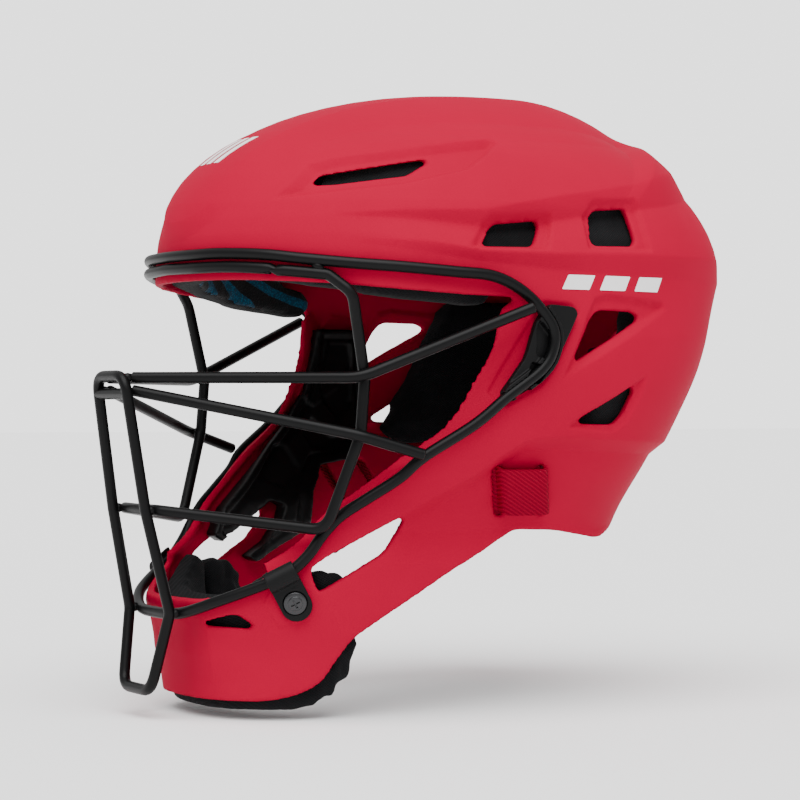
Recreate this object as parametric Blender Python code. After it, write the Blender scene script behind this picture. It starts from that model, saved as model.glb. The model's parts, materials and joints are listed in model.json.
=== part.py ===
"""Hockey-style catcher's helmet: moulded shell, wire face cage, liner pads and a floating back plate.

The wearer's left is +X, the face looks towards -Y and +Z is up. Sizes are in millimetres and are turned
into metres as each mesh is made. Heights are laid out from the wearer's eye line, and every piece hangs
from the empty crown_seat, which brings the origin to the flat underside of the crown pad.
"""

import math

import bmesh
import bpy
from mathutils import Matrix, Vector

MM = 0.001

# Overall size. The layout below is drawn for a helmet of these nominal sizes and stretches with them.
NOMINAL = Vector((209.0, 281.0, 284.0))
SHELL_WIDTH = 209.0
SHELL_LENGTH = 281.0
SHELL_HEIGHT = 284.0
STRETCH = Vector((SHELL_WIDTH / NOMINAL.x, SHELL_LENGTH / NOMINAL.y, SHELL_HEIGHT / NOMINAL.z))

WALL = 4.0
GAP = 0.35
FLANGE = 3.5

WIRE = 5.1
WIRE_BEND = 9.0
EYE_BAR_BEND = 22.0
HEAD_BAR_DROP = 8.0
WIRE_PITCH = WIRE + GAP
WIRE_STAND_OFF = WIRE / 2 + GAP

CROWN_SEAT = 122.0
CROWN_PAD = (46.0, 58.0)
CROWN_PAD_ROOM = 34.0
LINER = 16.0
JAW_LINER = 11.0
JAW_LINER_GAP = 3.6
JAW_LINER_CLEAR = 24.0
BROW_LINER = 18.0
CHIN_LINER = 15.0
THROAT_LINER = 12.0

PLATE_CLEARANCE = 1.2

STRAP_WIDTH = 21.0
STRAP_THICK = 1.7
STRAP_SLOT = 5.9

GUSSET_COVER = 0.4
GUSSET_THICK = WIRE + 2 * GAP + GUSSET_COVER
CLIP_WIDTH = 14.0
CLIP_TONGUE = 22.0
CLIP_THICK = 2.2
SCREW_SHANK = 4.4
SCREW_HEAD = 10.0
SCREW_HEAD_HEIGHT = 2.6
NUT_FLANGE = 12.0
NUT_THICK = 2.4
POCKET_ROOM = 1.0
RIVET_HEAD = 9.0
RIVET_HEIGHT = 2.0
TOP_RIVET_HEAD = 8.0

# Plan sections of the shell: height, front, rear, half width, front power, rear power, centre.
SECTIONS = (
    (60, -143, 138, 104.5, 2.15, 2.30, 10),
    (20, -147, 124, 104.5, 2.15, 2.30, 10),
    (-8, -148.5, 109, 99.5, 2.20, 2.30, 8),
    (-27, -149, 99, 91.5, 2.35, 2.30, 5),
    (-50, -148, 89, 78.5, 2.60, 2.20, 0),
    (-70, -147, 81, 74.5, 2.90, 2.20, -5),
    (-88, -146, 75, 71.5, 2.90, 2.20, -10),
    (-110, -141, 69, 67.5, 2.80, 2.20, -15),
    (-138, -140, 65, 64.0, 2.70, 2.20, -20),
)
DOME_BASE = 60.0
DOME_HEIGHT = 90.0
DOME_DRIFT = 12.0

# Grid of the shell: angle steps from the face to the nape, and rings from the lower rim to the crown.
ANGLE_STEPS = 24
LEVELS = [-138, -124, -110, -98, -86, -74, -62, -50, -38, -26, -14, -2, 10, 22, 35, 48, 60]
DOME_RINGS = 8
LEVELS += [
    DOME_BASE + DOME_HEIGHT * math.sin(math.pi / 2 * k / DOME_RINGS) ** 0.9 for k in range(1, DOME_RINGS + 1)
]

# Side outlines, (y, z) on the nominal helmet.
RIM = (
    (-22, 49), (-13, 36), (-17, 16), (-34, 0), (-50, -12),
    (-65, -22), (-82, -36), (-96, -49), (-107, -64), (-122, -75),
)
LIP = (
    (97, -27, 44), (94, -30, 28), (89, -38, 11), (85, -48, -6), (81, -58, -15),
    (77, -68, -22), (70, -84, -35), (63, -98, -46), (57, -110, -60), (51, -123, -69),
)
BROW = ((-220, 57), (-143, 57), (-124, 56), (-102, 54.5), (-75, 52), (-48, 50), (-32, 49.5))
CHIN_TOP = ((-130, -80), (-141, -86), (-220, -87))
NECK = (
    (-220, -132), (-118, -131), (-106, -128), (-97, -123), (-91, -113), (-84, -103), (-71, -94),
    (-39, -74), (-5, -56), (20, -57), (52, -62), (83, -54), (220, -50), (220, -220), (-220, -220),
)
JAW_SLOT = ((-105, -71), (-104, -75), (-101, -82), (-73, -65), (-71, -62), (-64, -50), (-66, -49), (-98, -66))
CROWN_VENT = ((-106, 100), (-100, 105), (-54, 115), (-53, 113.5), (-66, 105.5), (-96, 100.5))
SIDE_VENT = ((-39, 72.5), (-34, 82), (-31, 84), (-8, 87), (-7, 85), (-12, 74), (-14, 73))
REAR_VENT = ((19, 77), (23, 91), (26, 93), (46, 95), (47, 93), (46, 77), (44, 75), (21, 74.5))
UPPER_TRIANGLE = ((8, 22), (16, 38), (20, 43), (24, 44.5), (43, 44), (47, 42), (45.5, 39.5), (9.5, 20.5))
LOWER_TRIANGLE = ((13, -5.5), (43, 10), (45, 8), (40, -3), (36, -7), (33, -8), (15, -7.5))
CHIN_VENT = ((-142, -97), (-134, -92), (-131, -92), (-123, -98.5))
GUSSET = (
    (-11, 43), (-8, 46), (5, 45), (7, 42), (-5, 19), (-11, 11), (-27, 2), (-31, 6), (-20, 22), (-15, 38),
)
STRAP_SLOTS = (-19.5, 4.5)
STRAP_TAIL = (26.0, 14.0)
STRAP_TURN = 1.4
STRAP_ROOM = 1.5
STRAP_BOW = 0.4
STRAP_RUN = (18, 32, 46, 58, 68, 76, 82.5, 87, 90.2)
STRAP_HEIGHT = -38.0
STRAP_LEAN = 0.42
STRAP_END = 91.6

# Rear outlines of the back plate and of its liner, (x, z).
PLATE = (
    (-24, 44), (24, 44), (35, 35), (40, 12), (39, -20), (35, -46),
    (35, -120), (-35, -120), (-35, -46), (-39, -20), (-40, 12), (-35, 35),
)
REAR_LINER = ((-33, -18), (-34, 12), (-29, 32), (29, 32), (34, 12), (33, -18))

# Liner outlines, (y, z).
UPPER_LINER = (
    (-47, 64), (62, 62), (72, 80), (60, 112), (20, 124), (-50, 121), (-98, 111), (-112, 97), (-70, 93),
)
REAR_SIDE_LINER = ((54, 56), (34, 16), (14, -12), (22, -19), (70, -17), (106, -14), (124, 20), (126, 56))
JAW_LINER_OUTLINE = (
    (-21, 40), (5, 40), (7, 26), (6, 8), (4, -12), (-12, -26), (-30, -29), (-40, -42), (-44, -60),
    (-72, -76), (-98, -62), (-91, -49), (-76, -37), (-60, -22), (-42, -6), (-31, 8), (-24, 26),
)
JAW_WINDOW = ((-103, -80), (-94, -66), (-62, -46), (-58, -48), (-66, -66), (-100, -88))
CHIN_LINER_OUTLINE = (
    (-200, -90), (-139, -90), (-124, -81), (-112, -70), (-106, -72), (-108, -112), (-118, -117), (-200, -117),
)
THROAT_OUTLINE = (
    (-200, -119), (-117, -119), (-106, -113), (-104, -74), (-97, -72), (-85, -76),
    (-81, -94), (-79, -112), (-86, -127), (-101, -136), (-200, -137),
)
BROW_LINER_OUTLINE = (
    (-200, 60), (-130, 60), (-108, 55), (-70, 48), (-34, 45),
    (-31, 52), (-34, 58.5), (-50, 62), (-70, 90), (-200, 90),
)
BROW_LINER_FOOT = ((-220, 30), (-220, 60.5), (-130, 60), (-108, 55), (-70, 48), (-34, 45), (0, 45), (0, 30))

RED = ("shell_red", (0.62, 0.018, 0.045), 0.42, 0.0)
BLACK_STEEL = ("cage_black", (0.012, 0.012, 0.013), 0.38, 0.0)
BLACK_PLASTIC = ("plastic_black", (0.015, 0.015, 0.016), 0.45, 0.0)
FOAM = ("liner_foam", (0.018, 0.018, 0.02), 0.8, 0.0)
KNIT = ("liner_knit", (0.035, 0.036, 0.038), 0.9, 0.0)
WEBBING = ("strap_red", (0.5, 0.02, 0.04), 0.75, 0.0)
STEEL = ("screw_black", (0.02, 0.02, 0.022), 0.35, 0.8)

bpy.context.scene.unit_settings.scale_length = 1.0
for old in list(bpy.data.objects):
    bpy.data.objects.remove(old)

SEAT = bpy.data.objects.new("crown_seat", None)
SEAT.location.z = -CROWN_SEAT * STRETCH.z * MM
bpy.context.collection.objects.link(SEAT)


# ---------------------------------------------------------------- form of the shell


def section_value(height, column):
    """Reads one column of SECTIONS at a height, on a smooth curve through the rows."""
    rows = SECTIONS[::-1]
    height = min(max(height, rows[0][0]), rows[-1][0])
    k = max(i for i in range(len(rows) - 1) if rows[i][0] <= height)
    low, high = rows[k], rows[k + 1]
    before, after = rows[max(k - 1, 0)], rows[min(k + 2, len(rows) - 1)]
    span = high[0] - low[0]
    t = (height - low[0]) / span
    start = (high[column] - before[column]) / (high[0] - before[0]) * span
    end = (after[column] - low[column]) / (after[0] - low[0]) * span
    a = low[column]
    b = high[column]
    cubic = (2 * t**3 - 3 * t**2 + 1) * a + (t**3 - 2 * t**2 + t) * start
    return cubic + (3 * t**2 - 2 * t**3) * b + (t**3 - t**2) * end


def section(height):
    """Centre, front reach, rear reach, half width and the two powers of the plan section at a height."""
    front, rear, width, front_power, rear_power, centre = [section_value(height, c) for c in range(1, 7)]
    if height <= DOME_BASE:
        return centre, centre - front, rear - centre, width, front_power, rear_power
    s = min((height - DOME_BASE) / DOME_HEIGHT, 1.0)
    return (
        centre + DOME_DRIFT * s**2,
        (centre - front) * (1 - s**2.6) ** (1 / 2.4),
        (rear - centre) * (1 - s**1.9) ** (1 / 1.75),
        width * (1 - s**2.25) ** (1 / 2.05),
        front_power,
        rear_power,
    )


def on_form(angle, height):
    """Point of the nominal outer surface: angle 0 is the middle of the face, pi the nape, + the left side."""
    centre, front, rear, width, front_power, rear_power = section(height)
    sine, cosine = math.sin(angle), math.cos(angle)
    power, reach = (front_power, front) if cosine > 0 else (rear_power, rear)
    x = math.copysign(abs(sine) ** (2 / power), sine) * width
    y = centre - math.copysign(abs(cosine) ** (2 / power), cosine) * reach
    return Vector((x, y, height)) * STRETCH


def outward(angle, height):
    """Unit normal of the outer surface."""
    if height > DOME_BASE + 0.995 * DOME_HEIGHT:
        return Vector((0, 0, 1))
    across = on_form(angle + 0.01, height) - on_form(angle - 0.01, height)
    up = on_form(angle, height + 0.2) - on_form(angle, height - 0.2)
    return across.cross(up).normalized()


def at_depth(angle, height, depth):
    """Point under the outer surface by depth, or over it where depth is negative."""
    return on_form(angle, height) - outward(angle, height) * depth


def angle_at(y, height):
    """Angle of the left side's point at a nominal y and height."""
    centre, front, rear, _, front_power, rear_power = section(height)
    reach, power = (front, front_power) if y < centre else (rear, rear_power)
    share = min(abs(centre - y) / reach, 1.0) ** (power / 2)
    return math.acos(math.copysign(share, centre - y))


def stood_off(point, distance):
    """The point moved along the surface normal until it stands the distance off the form."""
    nominal = Vector(point[i] / STRETCH[i] for i in range(3))
    height = nominal.z
    angle = math.copysign(angle_at(nominal.y, height), nominal.x)
    if abs(nominal.x) < 60 and nominal.y < 0:
        low, high = 0.0, math.pi / 2
        for _ in range(40):
            middle = (low + high) / 2
            low, high = (middle, high) if on_form(middle, height).x < abs(point[0]) else (low, middle)
        angle = math.copysign(low, nominal.x)
    return at_depth(angle, height, -distance)


# ---------------------------------------------------------------- makers


def material(finish):
    name, colour, roughness, metallic = finish
    found = bpy.data.materials.get(name)
    if found:
        return found
    made = bpy.data.materials.new(name)
    made.use_nodes = True
    shader = made.node_tree.nodes["Principled BSDF"]
    shader.inputs["Base Color"].default_value = (*colour, 1)
    shader.inputs["Roughness"].default_value = roughness
    shader.inputs["Metallic"].default_value = metallic
    return made


def place(name, bm, finish, hidden=False):
    """Makes the object of a closed bmesh, hung from the crown seat."""
    bmesh.ops.recalc_face_normals(bm, faces=bm.faces)
    for vert in bm.verts:
        vert.co *= MM
    mesh = bpy.data.meshes.new(name)
    bm.to_mesh(mesh)
    bm.free()
    obj = bpy.data.objects.new(name, mesh)
    obj.parent = SEAT
    bpy.context.collection.objects.link(obj)
    if hidden:
        obj.hide_render = True
        obj.display_type = "WIRE"
    else:
        mesh.materials.append(material(finish))
    return obj


def slab(name, finish, steps, rings, outer, inner, hidden=False):
    """A closed layer of the shell's grid between two depths; steps and rings are (first, last) grid lines."""
    bm = bmesh.new()
    across, up = steps[1] - steps[0], rings[1] - rings[0]
    bmesh.ops.create_grid(bm, x_segments=across, y_segments=up, size=1)
    angle_of, height_of = bm.verts.layers.float.new("angle"), bm.verts.layers.float.new("height")
    for vert in bm.verts:
        step = steps[0] + round((vert.co.x + 1) / 2 * across)
        vert[angle_of] = math.pi * step / ANGLE_STEPS
        vert[height_of] = LEVELS[rings[0] + round((vert.co.y + 1) / 2 * up)]
        vert.co = at_depth(vert[angle_of], vert[height_of], outer)
    bmesh.ops.remove_doubles(bm, verts=bm.verts, dist=0.01)
    made = bmesh.ops.extrude_face_region(bm, geom=bm.faces[:], use_keep_orig=True)["geom"]
    for vert in (item for item in made if isinstance(item, bmesh.types.BMVert)):
        vert.co = at_depth(vert[angle_of], vert[height_of], inner)
    return place(name, bm, finish, hidden)


def prism(name, outline, axis, low, high):
    """A hidden cutter: an outline in side, rear or plan view, run along the axis it is seen along."""
    bm = bmesh.new()
    spots = {
        "X": lambda a, b: Vector((low, a * STRETCH.y, b * STRETCH.z)),
        "Y": lambda a, b: Vector((a * STRETCH.x, low, b * STRETCH.z)),
        "Z": lambda a, b: Vector((a * STRETCH.x, b * STRETCH.y, low)),
    }[axis]
    face = bm.faces.new([bm.verts.new(spots(a, b)) for a, b in outline])
    run = {"X": Vector((1, 0, 0)), "Y": Vector((0, 1, 0)), "Z": Vector((0, 0, 1))}[axis] * (high - low)
    made = bmesh.ops.extrude_face_region(bm, geom=[face], use_keep_orig=True)["geom"]
    moved = [item for item in made if isinstance(item, bmesh.types.BMVert)]
    bmesh.ops.translate(bm, verts=moved, vec=run)
    return place(name, bm, None, hidden=True)


def combine(obj, other, operation):
    """Adds a Boolean of the other object."""
    modifier = obj.modifiers.new(other.name, "BOOLEAN")
    modifier.operation = operation
    modifier.object = other
    modifier.solver = "EXACT"


def cut(obj, *cutters):
    for cutter in cutters:
        combine(obj, cutter, "DIFFERENCE")


def keep(obj, cutter):
    combine(obj, cutter, "INTERSECT")


def swept(name, finish, stations, hidden=False):
    """A bar of four-cornered stations, bridged end to end."""
    bm = bmesh.new()
    rings = [[bm.verts.new(corner) for corner in station] for station in stations]
    bm.faces.new(rings[0])
    bm.faces.new(rings[-1])
    for ring, after in zip(rings, rings[1:]):
        for k in range(4):
            bm.faces.new((ring[k], ring[(k + 1) % 4], after[(k + 1) % 4], after[k]))
    return place(name, bm, finish, hidden)


def turned(name, finish, origin, axis, profile, sides=16, hidden=False):
    """A round piece: a profile of (radius, distance along the axis) spun about the axis."""
    bm = bmesh.new()
    verts = [bm.verts.new((radius, 0, along)) for radius, along in profile]
    edges = [bm.edges.new(pair) for pair in zip(verts, verts[1:])]
    bmesh.ops.spin(
        bm, geom=verts + edges, cent=(0, 0, 0), axis=(0, 0, 1), angle=2 * math.pi, steps=sides, use_merge=True
    )
    bmesh.ops.remove_doubles(bm, verts=bm.verts, dist=0.001)
    turn = Vector((0, 0, 1)).rotation_difference(axis).to_matrix().to_4x4()
    bmesh.ops.transform(bm, matrix=Matrix.Translation(origin) @ turn, verts=bm.verts)
    return place(name, bm, finish, hidden)


def stud(shank, length, head, height):
    """Profile of a headed stud whose head sits on distance 0 and whose shank runs down from it."""
    dome = ((0, height), (head * 0.3, height), (head * 0.5, height * 0.45), (head * 0.5, 0))
    return (*dome, (shank / 2, 0), (shank / 2, -length), (0, -length))


def laid(points):
    return [Vector(point) * STRETCH for point in points]


def bent(points, radius, closed=False, steps=3):
    """A wire's route: straight runs between the points with a bend of the radius at each corner."""
    route = []
    count = len(points)
    for k, point in enumerate(points):
        if not closed and k in (0, count - 1):
            route.append(point)
            continue
        back, on = points[k - 1] - point, points[(k + 1) % count] - point
        turn = math.pi - back.angle(on)
        reach = min(radius * math.tan(turn / 2), back.length * 0.45, on.length * 0.45)
        if turn < 0.12:
            route.append(point)
            continue
        start, end = point + back.normalized() * reach, point + on.normalized() * reach
        for i in range(steps + 1):
            t = i / steps
            route.append(start * (1 - t) ** 2 + point * 2 * t * (1 - t) + end * t**2)
    return route


def smoothed(points, spacing, closed=False):
    """A route through the points on a smooth curve, with a point about every spacing."""
    count = len(points)
    route = []
    for k in range(count if closed else count - 1):
        a, b = points[k], points[(k + 1) % count]
        before = points[k - 1] if closed or k else a * 2 - b
        after = points[(k + 2) % count] if closed or k + 2 < count else b * 2 - a
        steps = max(1, round((b - a).length / spacing))
        for i in range(steps):
            t = i / steps
            square = (before * 2 - a * 5 + b * 4 - after) * t**2
            cube = (a * 3 - before - b * 3 + after) * t**3
            route.append(0.5 * (a * 2 + (b - before) * t + square + cube))
    if not closed:
        route.append(points[-1])
    return route


def wire(name, route, closed=False, radius=WIRE / 2, hidden=False):
    """A round bar along a route."""
    data = bpy.data.curves.new(name, "CURVE")
    data.dimensions = "3D"
    data.bevel_depth = radius * MM
    data.bevel_resolution = 2
    data.use_fill_caps = not closed
    spline = data.splines.new("POLY")
    spline.points.add(len(route) - 1)
    for spot, point in zip(spline.points, route):
        spot.co = (*(point * MM), 1)
    spline.use_cyclic_u = closed
    if hidden:
        guide = bpy.data.objects.new(name + "_guide", data)
        graph = bpy.context.evaluated_depsgraph_get()
        bpy.context.collection.objects.link(guide)
        graph.update()
        mesh = bpy.data.meshes.new_from_object(guide.evaluated_get(graph))
        bpy.data.objects.remove(guide)
        obj = bpy.data.objects.new(name, mesh)
        obj.hide_render = True
        obj.display_type = "WIRE"
    else:
        obj = bpy.data.objects.new(name, data)
        data.materials.append(material(BLACK_STEEL))
    obj.parent = SEAT
    bpy.context.collection.objects.link(obj)
    return obj


SIDES = (("left", 1), ("right", -1))
GRID_TOP = len(LEVELS) - 1


def ring_at(height):
    """The grid ring at or just under a nominal height."""
    return max(k for k, level in enumerate(LEVELS) if level <= height + 0.01)


def mirrored(points, side):
    return [Vector((point.x * side, point.y, point.z)) for point in points]


# ---------------------------------------------------------------- shell and back plate


def rear_outline(grow):
    """The back plate's outline with its edge moved out by grow."""
    return [
        (x + math.copysign(grow / STRETCH.x, x), z + (grow / STRETCH.z if z > 30 else 0)) for x, z in PLATE
    ]


def strap_slot_cutter(side, name, y):
    """Cutter of one strap slot: a leaning slot as wide as the strap is high."""
    half = STRAP_WIDTH / 2 + 2.5
    stations = []
    for x in (60, 125):
        corners = []
        for sign_z, sign_y in ((-1, -1), (-1, 1), (1, 1), (1, -1)):
            corners.append(
                Vector(
                    (
                        side * x * STRETCH.x,
                        y * STRETCH.y - sign_z * half * STRAP_LEAN + sign_y * STRAP_SLOT / 2,
                        STRAP_HEIGHT * STRETCH.z + sign_z * half,
                    )
                )
            )
        stations.append(corners)
    return swept(f"cut_{name}", None, stations, hidden=True)


def flange_stations(side, grow=0.0, front=0.0):
    """The inward-turned edge of the face opening, from the rim line to the lip.

    It is thicker by grow all round and reaches further forward by front.
    """
    stations = []
    outline = [Vector((0, y * STRETCH.y, z * STRETCH.z)) for y, z in RIM]
    for k, ((y, z), lip) in enumerate(zip(RIM, LIP)):
        ahead, behind = outline[min(k + 1, len(RIM) - 1)], outline[max(k - 1, 0)]
        away = Vector((1, 0, 0)).cross(ahead - behind).normalized()
        root = on_form(angle_at(y, z), z) - Vector((1, 0, 0))
        edge = Vector(lip) * STRETCH
        run = (edge - root).normalized() * grow
        near, far = away * -(grow + front), away * (FLANGE + grow)
        corners = (root - run + near, edge + run + near, edge + run + far, root - run + far)
        stations.append([Vector((side * p.x, p.y, p.z)) for p in corners])
    return stations


def make_shell():
    """The moulded shell: a cup of the form's grid with its openings, and the flange of the face opening."""
    shell = slab("helmet_shell", RED, (-ANGLE_STEPS, ANGLE_STEPS), (0, GRID_TOP), 0, WALL)
    half = 0.7 * SHELL_WIDTH
    cut(shell, prism("cut_face", BROW + RIM + CHIN_TOP, "X", -half, half))
    for side_name, side in SIDES:
        combine(shell, swept(f"join_flange_{side_name}", None, flange_stations(side), hidden=True), "UNION")
    cut(
        shell,
        prism("cut_neck", NECK, "X", -half, half),
        prism("cut_rear", rear_outline(PLATE_CLEARANCE), "Y", 20, SHELL_LENGTH),
    )
    for name, outline, inner in (
        ("jaw_slot", JAW_SLOT, 30),
        ("crown_vent", CROWN_VENT, 30),
        ("side_vent", SIDE_VENT, 30),
        ("rear_vent", REAR_VENT, 30),
        ("upper_triangle", UPPER_TRIANGLE, 30),
        ("lower_triangle", LOWER_TRIANGLE, 30),
        ("chin_vent", CHIN_VENT, 22),
    ):
        for side_name, side in SIDES:
            low, high = sorted((side * inner * STRETCH.x, side * half))
            cut(shell, prism(f"cut_{name}_{side_name}", outline, "X", low, high))
    for side_name, side in SIDES:
        for k, y in enumerate(STRAP_SLOTS):
            cut(shell, strap_slot_cutter(side, f"strap_slot_{k}_{side_name}", y))
    return shell


def make_back_plate():
    """The floating plate that fills the rear cut-out, flush with the shell."""
    first = ANGLE_STEPS * 3 // 4
    plate = slab("back_plate", RED, (first, 2 * ANGLE_STEPS - first), (ring_at(-62), ring_at(60)), 0, WALL)
    keep(plate, prism("keep_plate", rear_outline(0), "Y", 20, SHELL_LENGTH))
    cut(plate, prism("cut_plate_foot", NECK, "X", -SHELL_WIDTH, SHELL_WIDTH))
    return plate


# ---------------------------------------------------------------- liner


def make_crown_pad():
    """The crown pad, flat underneath where the head meets it."""
    whole_turn = (-ANGLE_STEPS, ANGLE_STEPS)
    pad = slab("crown_pad", KNIT, whole_turn, (ring_at(118), GRID_TOP), WALL + GAP, WALL + CROWN_PAD_ROOM)
    across, along = CROWN_PAD
    middle = DOME_DRIFT + section_value(DOME_BASE, 6)
    turns = (2 * math.pi * k / 20 for k in range(20))
    plan = [(across * math.cos(a), middle + along * math.sin(a)) for a in turns]
    keep(pad, prism("keep_crown", plan, "Z", CROWN_SEAT * STRETCH.z, SHELL_HEIGHT))
    return pad


def liner(name, finish, outline, steps, rings, thick, start=WALL + GAP, windows=()):
    """A liner pad: a layer of the grid inside the wall, trimmed to a side outline."""
    pad = slab(name, finish, steps, rings, start, start + thick)
    keep(pad, prism(f"keep_{name}", outline, "X", -SHELL_WIDTH, SHELL_WIDTH))
    for k, window in enumerate(windows):
        cut(pad, prism(f"window_{name}_{k}", window, "X", -SHELL_WIDTH, SHELL_WIDTH))
    return pad


def make_liner():
    """The liner pads, each a layer inside the wall."""
    make_crown_pad()
    brow = liner("brow_pad", KNIT, BROW_LINER_OUTLINE, (-12, 12), (ring_at(35), ring_at(94)), BROW_LINER)
    cut(brow, prism("cut_brow_foot", BROW_LINER_FOOT, "X", -SHELL_WIDTH, SHELL_WIDTH))
    for side_name, side in SIDES:

        def steps(first, last):
            return (first, last) if side > 0 else (-last, -first)

        upper, rear_side, jaw = (f"{part}_pad_{side_name}" for part in ("upper", "rear_side", "jaw"))
        liner(upper, FOAM, UPPER_LINER, steps(5, 20), (ring_at(60), ring_at(133)), LINER)
        liner(rear_side, KNIT, REAR_SIDE_LINER, steps(12, 20), (ring_at(-26), ring_at(60)), LINER)
        jaw_rings = (ring_at(-86), ring_at(48))
        jaw_pad = liner(
            jaw, FOAM, JAW_LINER_OUTLINE, steps(4, 14), jaw_rings, JAW_LINER, windows=(JAW_WINDOW,)
        )
        room = flange_stations(side, JAW_LINER_GAP, JAW_LINER_CLEAR)
        flange_room = swept(f"cut_flange_{side_name}", None, room, hidden=True)
        tail_room = swept(f"cut_strap_tail_{side_name}", None, strap_pocket(side), hidden=True)
        cut(jaw_pad, flange_room, tail_room)
    liner("chin_pad", KNIT, CHIN_LINER_OUTLINE, (-10, 10), (ring_at(-124), ring_at(-62)), CHIN_LINER)
    liner("throat_pad", KNIT, THROAT_OUTLINE, (-11, 11), (ring_at(-138), ring_at(-62)), THROAT_LINER)
    nape_steps, nape_rings = (ANGLE_STEPS - 5, ANGLE_STEPS + 5), (ring_at(-26), ring_at(48))
    rear = slab("rear_pad", KNIT, nape_steps, nape_rings, WALL + GAP, WALL + GAP + LINER)
    keep(rear, prism("keep_rear_pad", REAR_LINER, "Y", 20, SHELL_LENGTH))


# ---------------------------------------------------------------- cage

PERIMETER_SIDE = (
    (20, -144, 68), (37, -136, 68), (55, -124, 67), (69, -111, 65), (80, -94, 63), (90, -75, 61.5),
    (97, -52, 59.5), (101, -36, 58), (103, -24, 53), (104, -14, 45), (105, -6.5, 35), (105, -6.5, 26),
    (104, -12, 17), (101, -28, 5), (96, -42, -7), (86, -63, -21), (81, -72, -30), (74, -84, -39),
    (68, -94, -47), (65, -101, -56), (63, -107, -65), (60, -114, -72), (55, -122, -77),
)
PERIMETER_CHIN = ((41, -141, -86), (22, -149.4, -92), (0, -151.5, -93))
# The inner loop's brow, laid out on the perimeter wire's line and then dropped under it.
INNER_BROW = ((22, -144, 68.1), (40, -135, 67.9), (58, -122, 66.5), (76, -101, 63.7))
INNER_BROW_DROP = WIRE_PITCH + 0.45
INNER_DROP = ((84, -96, 50), (81.5, -88.5, 13), (81.5, -90.5, -12), (74, -104, -54))
INNER_CHIN_Y = (-161.0, -159.5)
INNER_CHIN_Z = -46.0


def cage_side(points, side, stand_off=None):
    """Layout points on one side of the cage, stood off the shell if a distance is given."""
    spots = mirrored(laid(points), side)
    return [stood_off(spot, stand_off) for spot in spots] if stand_off else spots


def make_perimeter_wire():
    """The closed wire that lies on the shell round the face opening and crosses in front of the chin."""
    left = cage_side(PERIMETER_SIDE, 1, WIRE_STAND_OFF) + laid(PERIMETER_CHIN)
    brow = [stood_off(Vector((0, -145, 68)) * STRETCH, WIRE_STAND_OFF)]
    route = smoothed(brow + left + mirrored(left[-2::-1], -1), 14, closed=True)
    wire("perimeter_wire", route, closed=True)
    return route


def make_inner_loop():
    """The second brow wire, which drops on both sides and crosses behind the centre loop."""
    drop_under = Vector((0, 0, -INNER_BROW_DROP))
    brow = [stood_off(point + drop_under, WIRE_STAND_OFF) for point in laid(INNER_BROW)]
    middle = stood_off(Vector((0, -145, 68.4)) * STRETCH + drop_under, WIRE_STAND_OFF + GAP)
    arc = [stood_off(point, WIRE_STAND_OFF) for point in smoothed(brow, 12)]
    front = laid(((18, INNER_CHIN_Y[1], INNER_CHIN_Z), (0, INNER_CHIN_Y[0], INNER_CHIN_Z)))
    drop = laid(INNER_DROP)
    tail = bent([arc[-2], arc[-1], *drop, *front], WIRE_BEND)[1:-1]
    left = arc[:-1] + tail
    route = [middle, *left, front[-1], *mirrored(left[::-1], -1)]
    wire("inner_loop_wire", route, closed=True)


def make_eye_bars():
    """The two bars on each side, outside the inner loop, that end behind the centre loop's head."""
    step = Vector((0.7, -0.7, 0)) * (WIRE_PITCH + EYE_BAR_BEND * 0.05)
    for side_name, side in SIDES:
        head_y = -174 * STRETCH.y + WIRE_PITCH
        cross_high, cross_low = (Vector(INNER_DROP[k]) * STRETCH + step for k in (1, 2))
        end_high = stood_off(Vector((104, -15, 45.5)) * STRETCH, WIRE_STAND_OFF + WIRE_PITCH)
        end_low = stood_off(Vector((86, -61, -19.5)) * STRETCH, WIRE_STAND_OFF + WIRE_PITCH)
        high = [Vector((13 * STRETCH.x, head_y, 13.2 * STRETCH.z)), cross_high, end_high]
        low = [Vector((13 * STRETCH.x, head_y, 13.2 * STRETCH.z - WIRE_PITCH - 0.3)), cross_low, end_low]
        wire(f"upper_eye_bar_{side_name}", mirrored(bent(high, EYE_BAR_BEND, steps=4), side))
        wire(f"lower_eye_bar_{side_name}", mirrored(bent(low, EYE_BAR_BEND, steps=4), side))


def make_centre_loop():
    """The closed loop in front of the mouth, and the short bar across its head."""
    crossing = PERIMETER_CHIN[1]
    waist = Vector(crossing) * STRETCH + Vector((0, -WIRE_PITCH, 0))
    mouth = Vector((18, INNER_CHIN_Y[1], INNER_CHIN_Z)) * STRETCH + Vector((0, -WIRE_PITCH, 0))
    head, foot = laid(((15.5, -174, 14), (15, -161, -127)))
    left = [head, mouth, waist, foot]
    corners = left + mirrored(left[::-1], -1)
    wire("centre_loop", bent(corners, WIRE_BEND, closed=True), closed=True)
    below = head.z - HEAD_BAR_DROP
    share = (head.z - below) / (head.z - mouth.z)
    x = head.x + (mouth.x - head.x) * share - WIRE_STAND_OFF - GAP
    y = head.y + (mouth.y - head.y) * share
    wire("head_cross_bar", [Vector((x, y, below)), Vector((-x, y, below))])


# ---------------------------------------------------------------- cage fittings


def frame_at(y, height, side):
    """Point on one side of the shell and its outward normal."""
    angle = angle_at(y, height)
    point, normal = on_form(angle, height), outward(angle, height)
    point, normal = Vector((side * point.x, point.y, point.z)), Vector((side * normal.x, normal.y, normal.z))
    return point, normal


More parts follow.
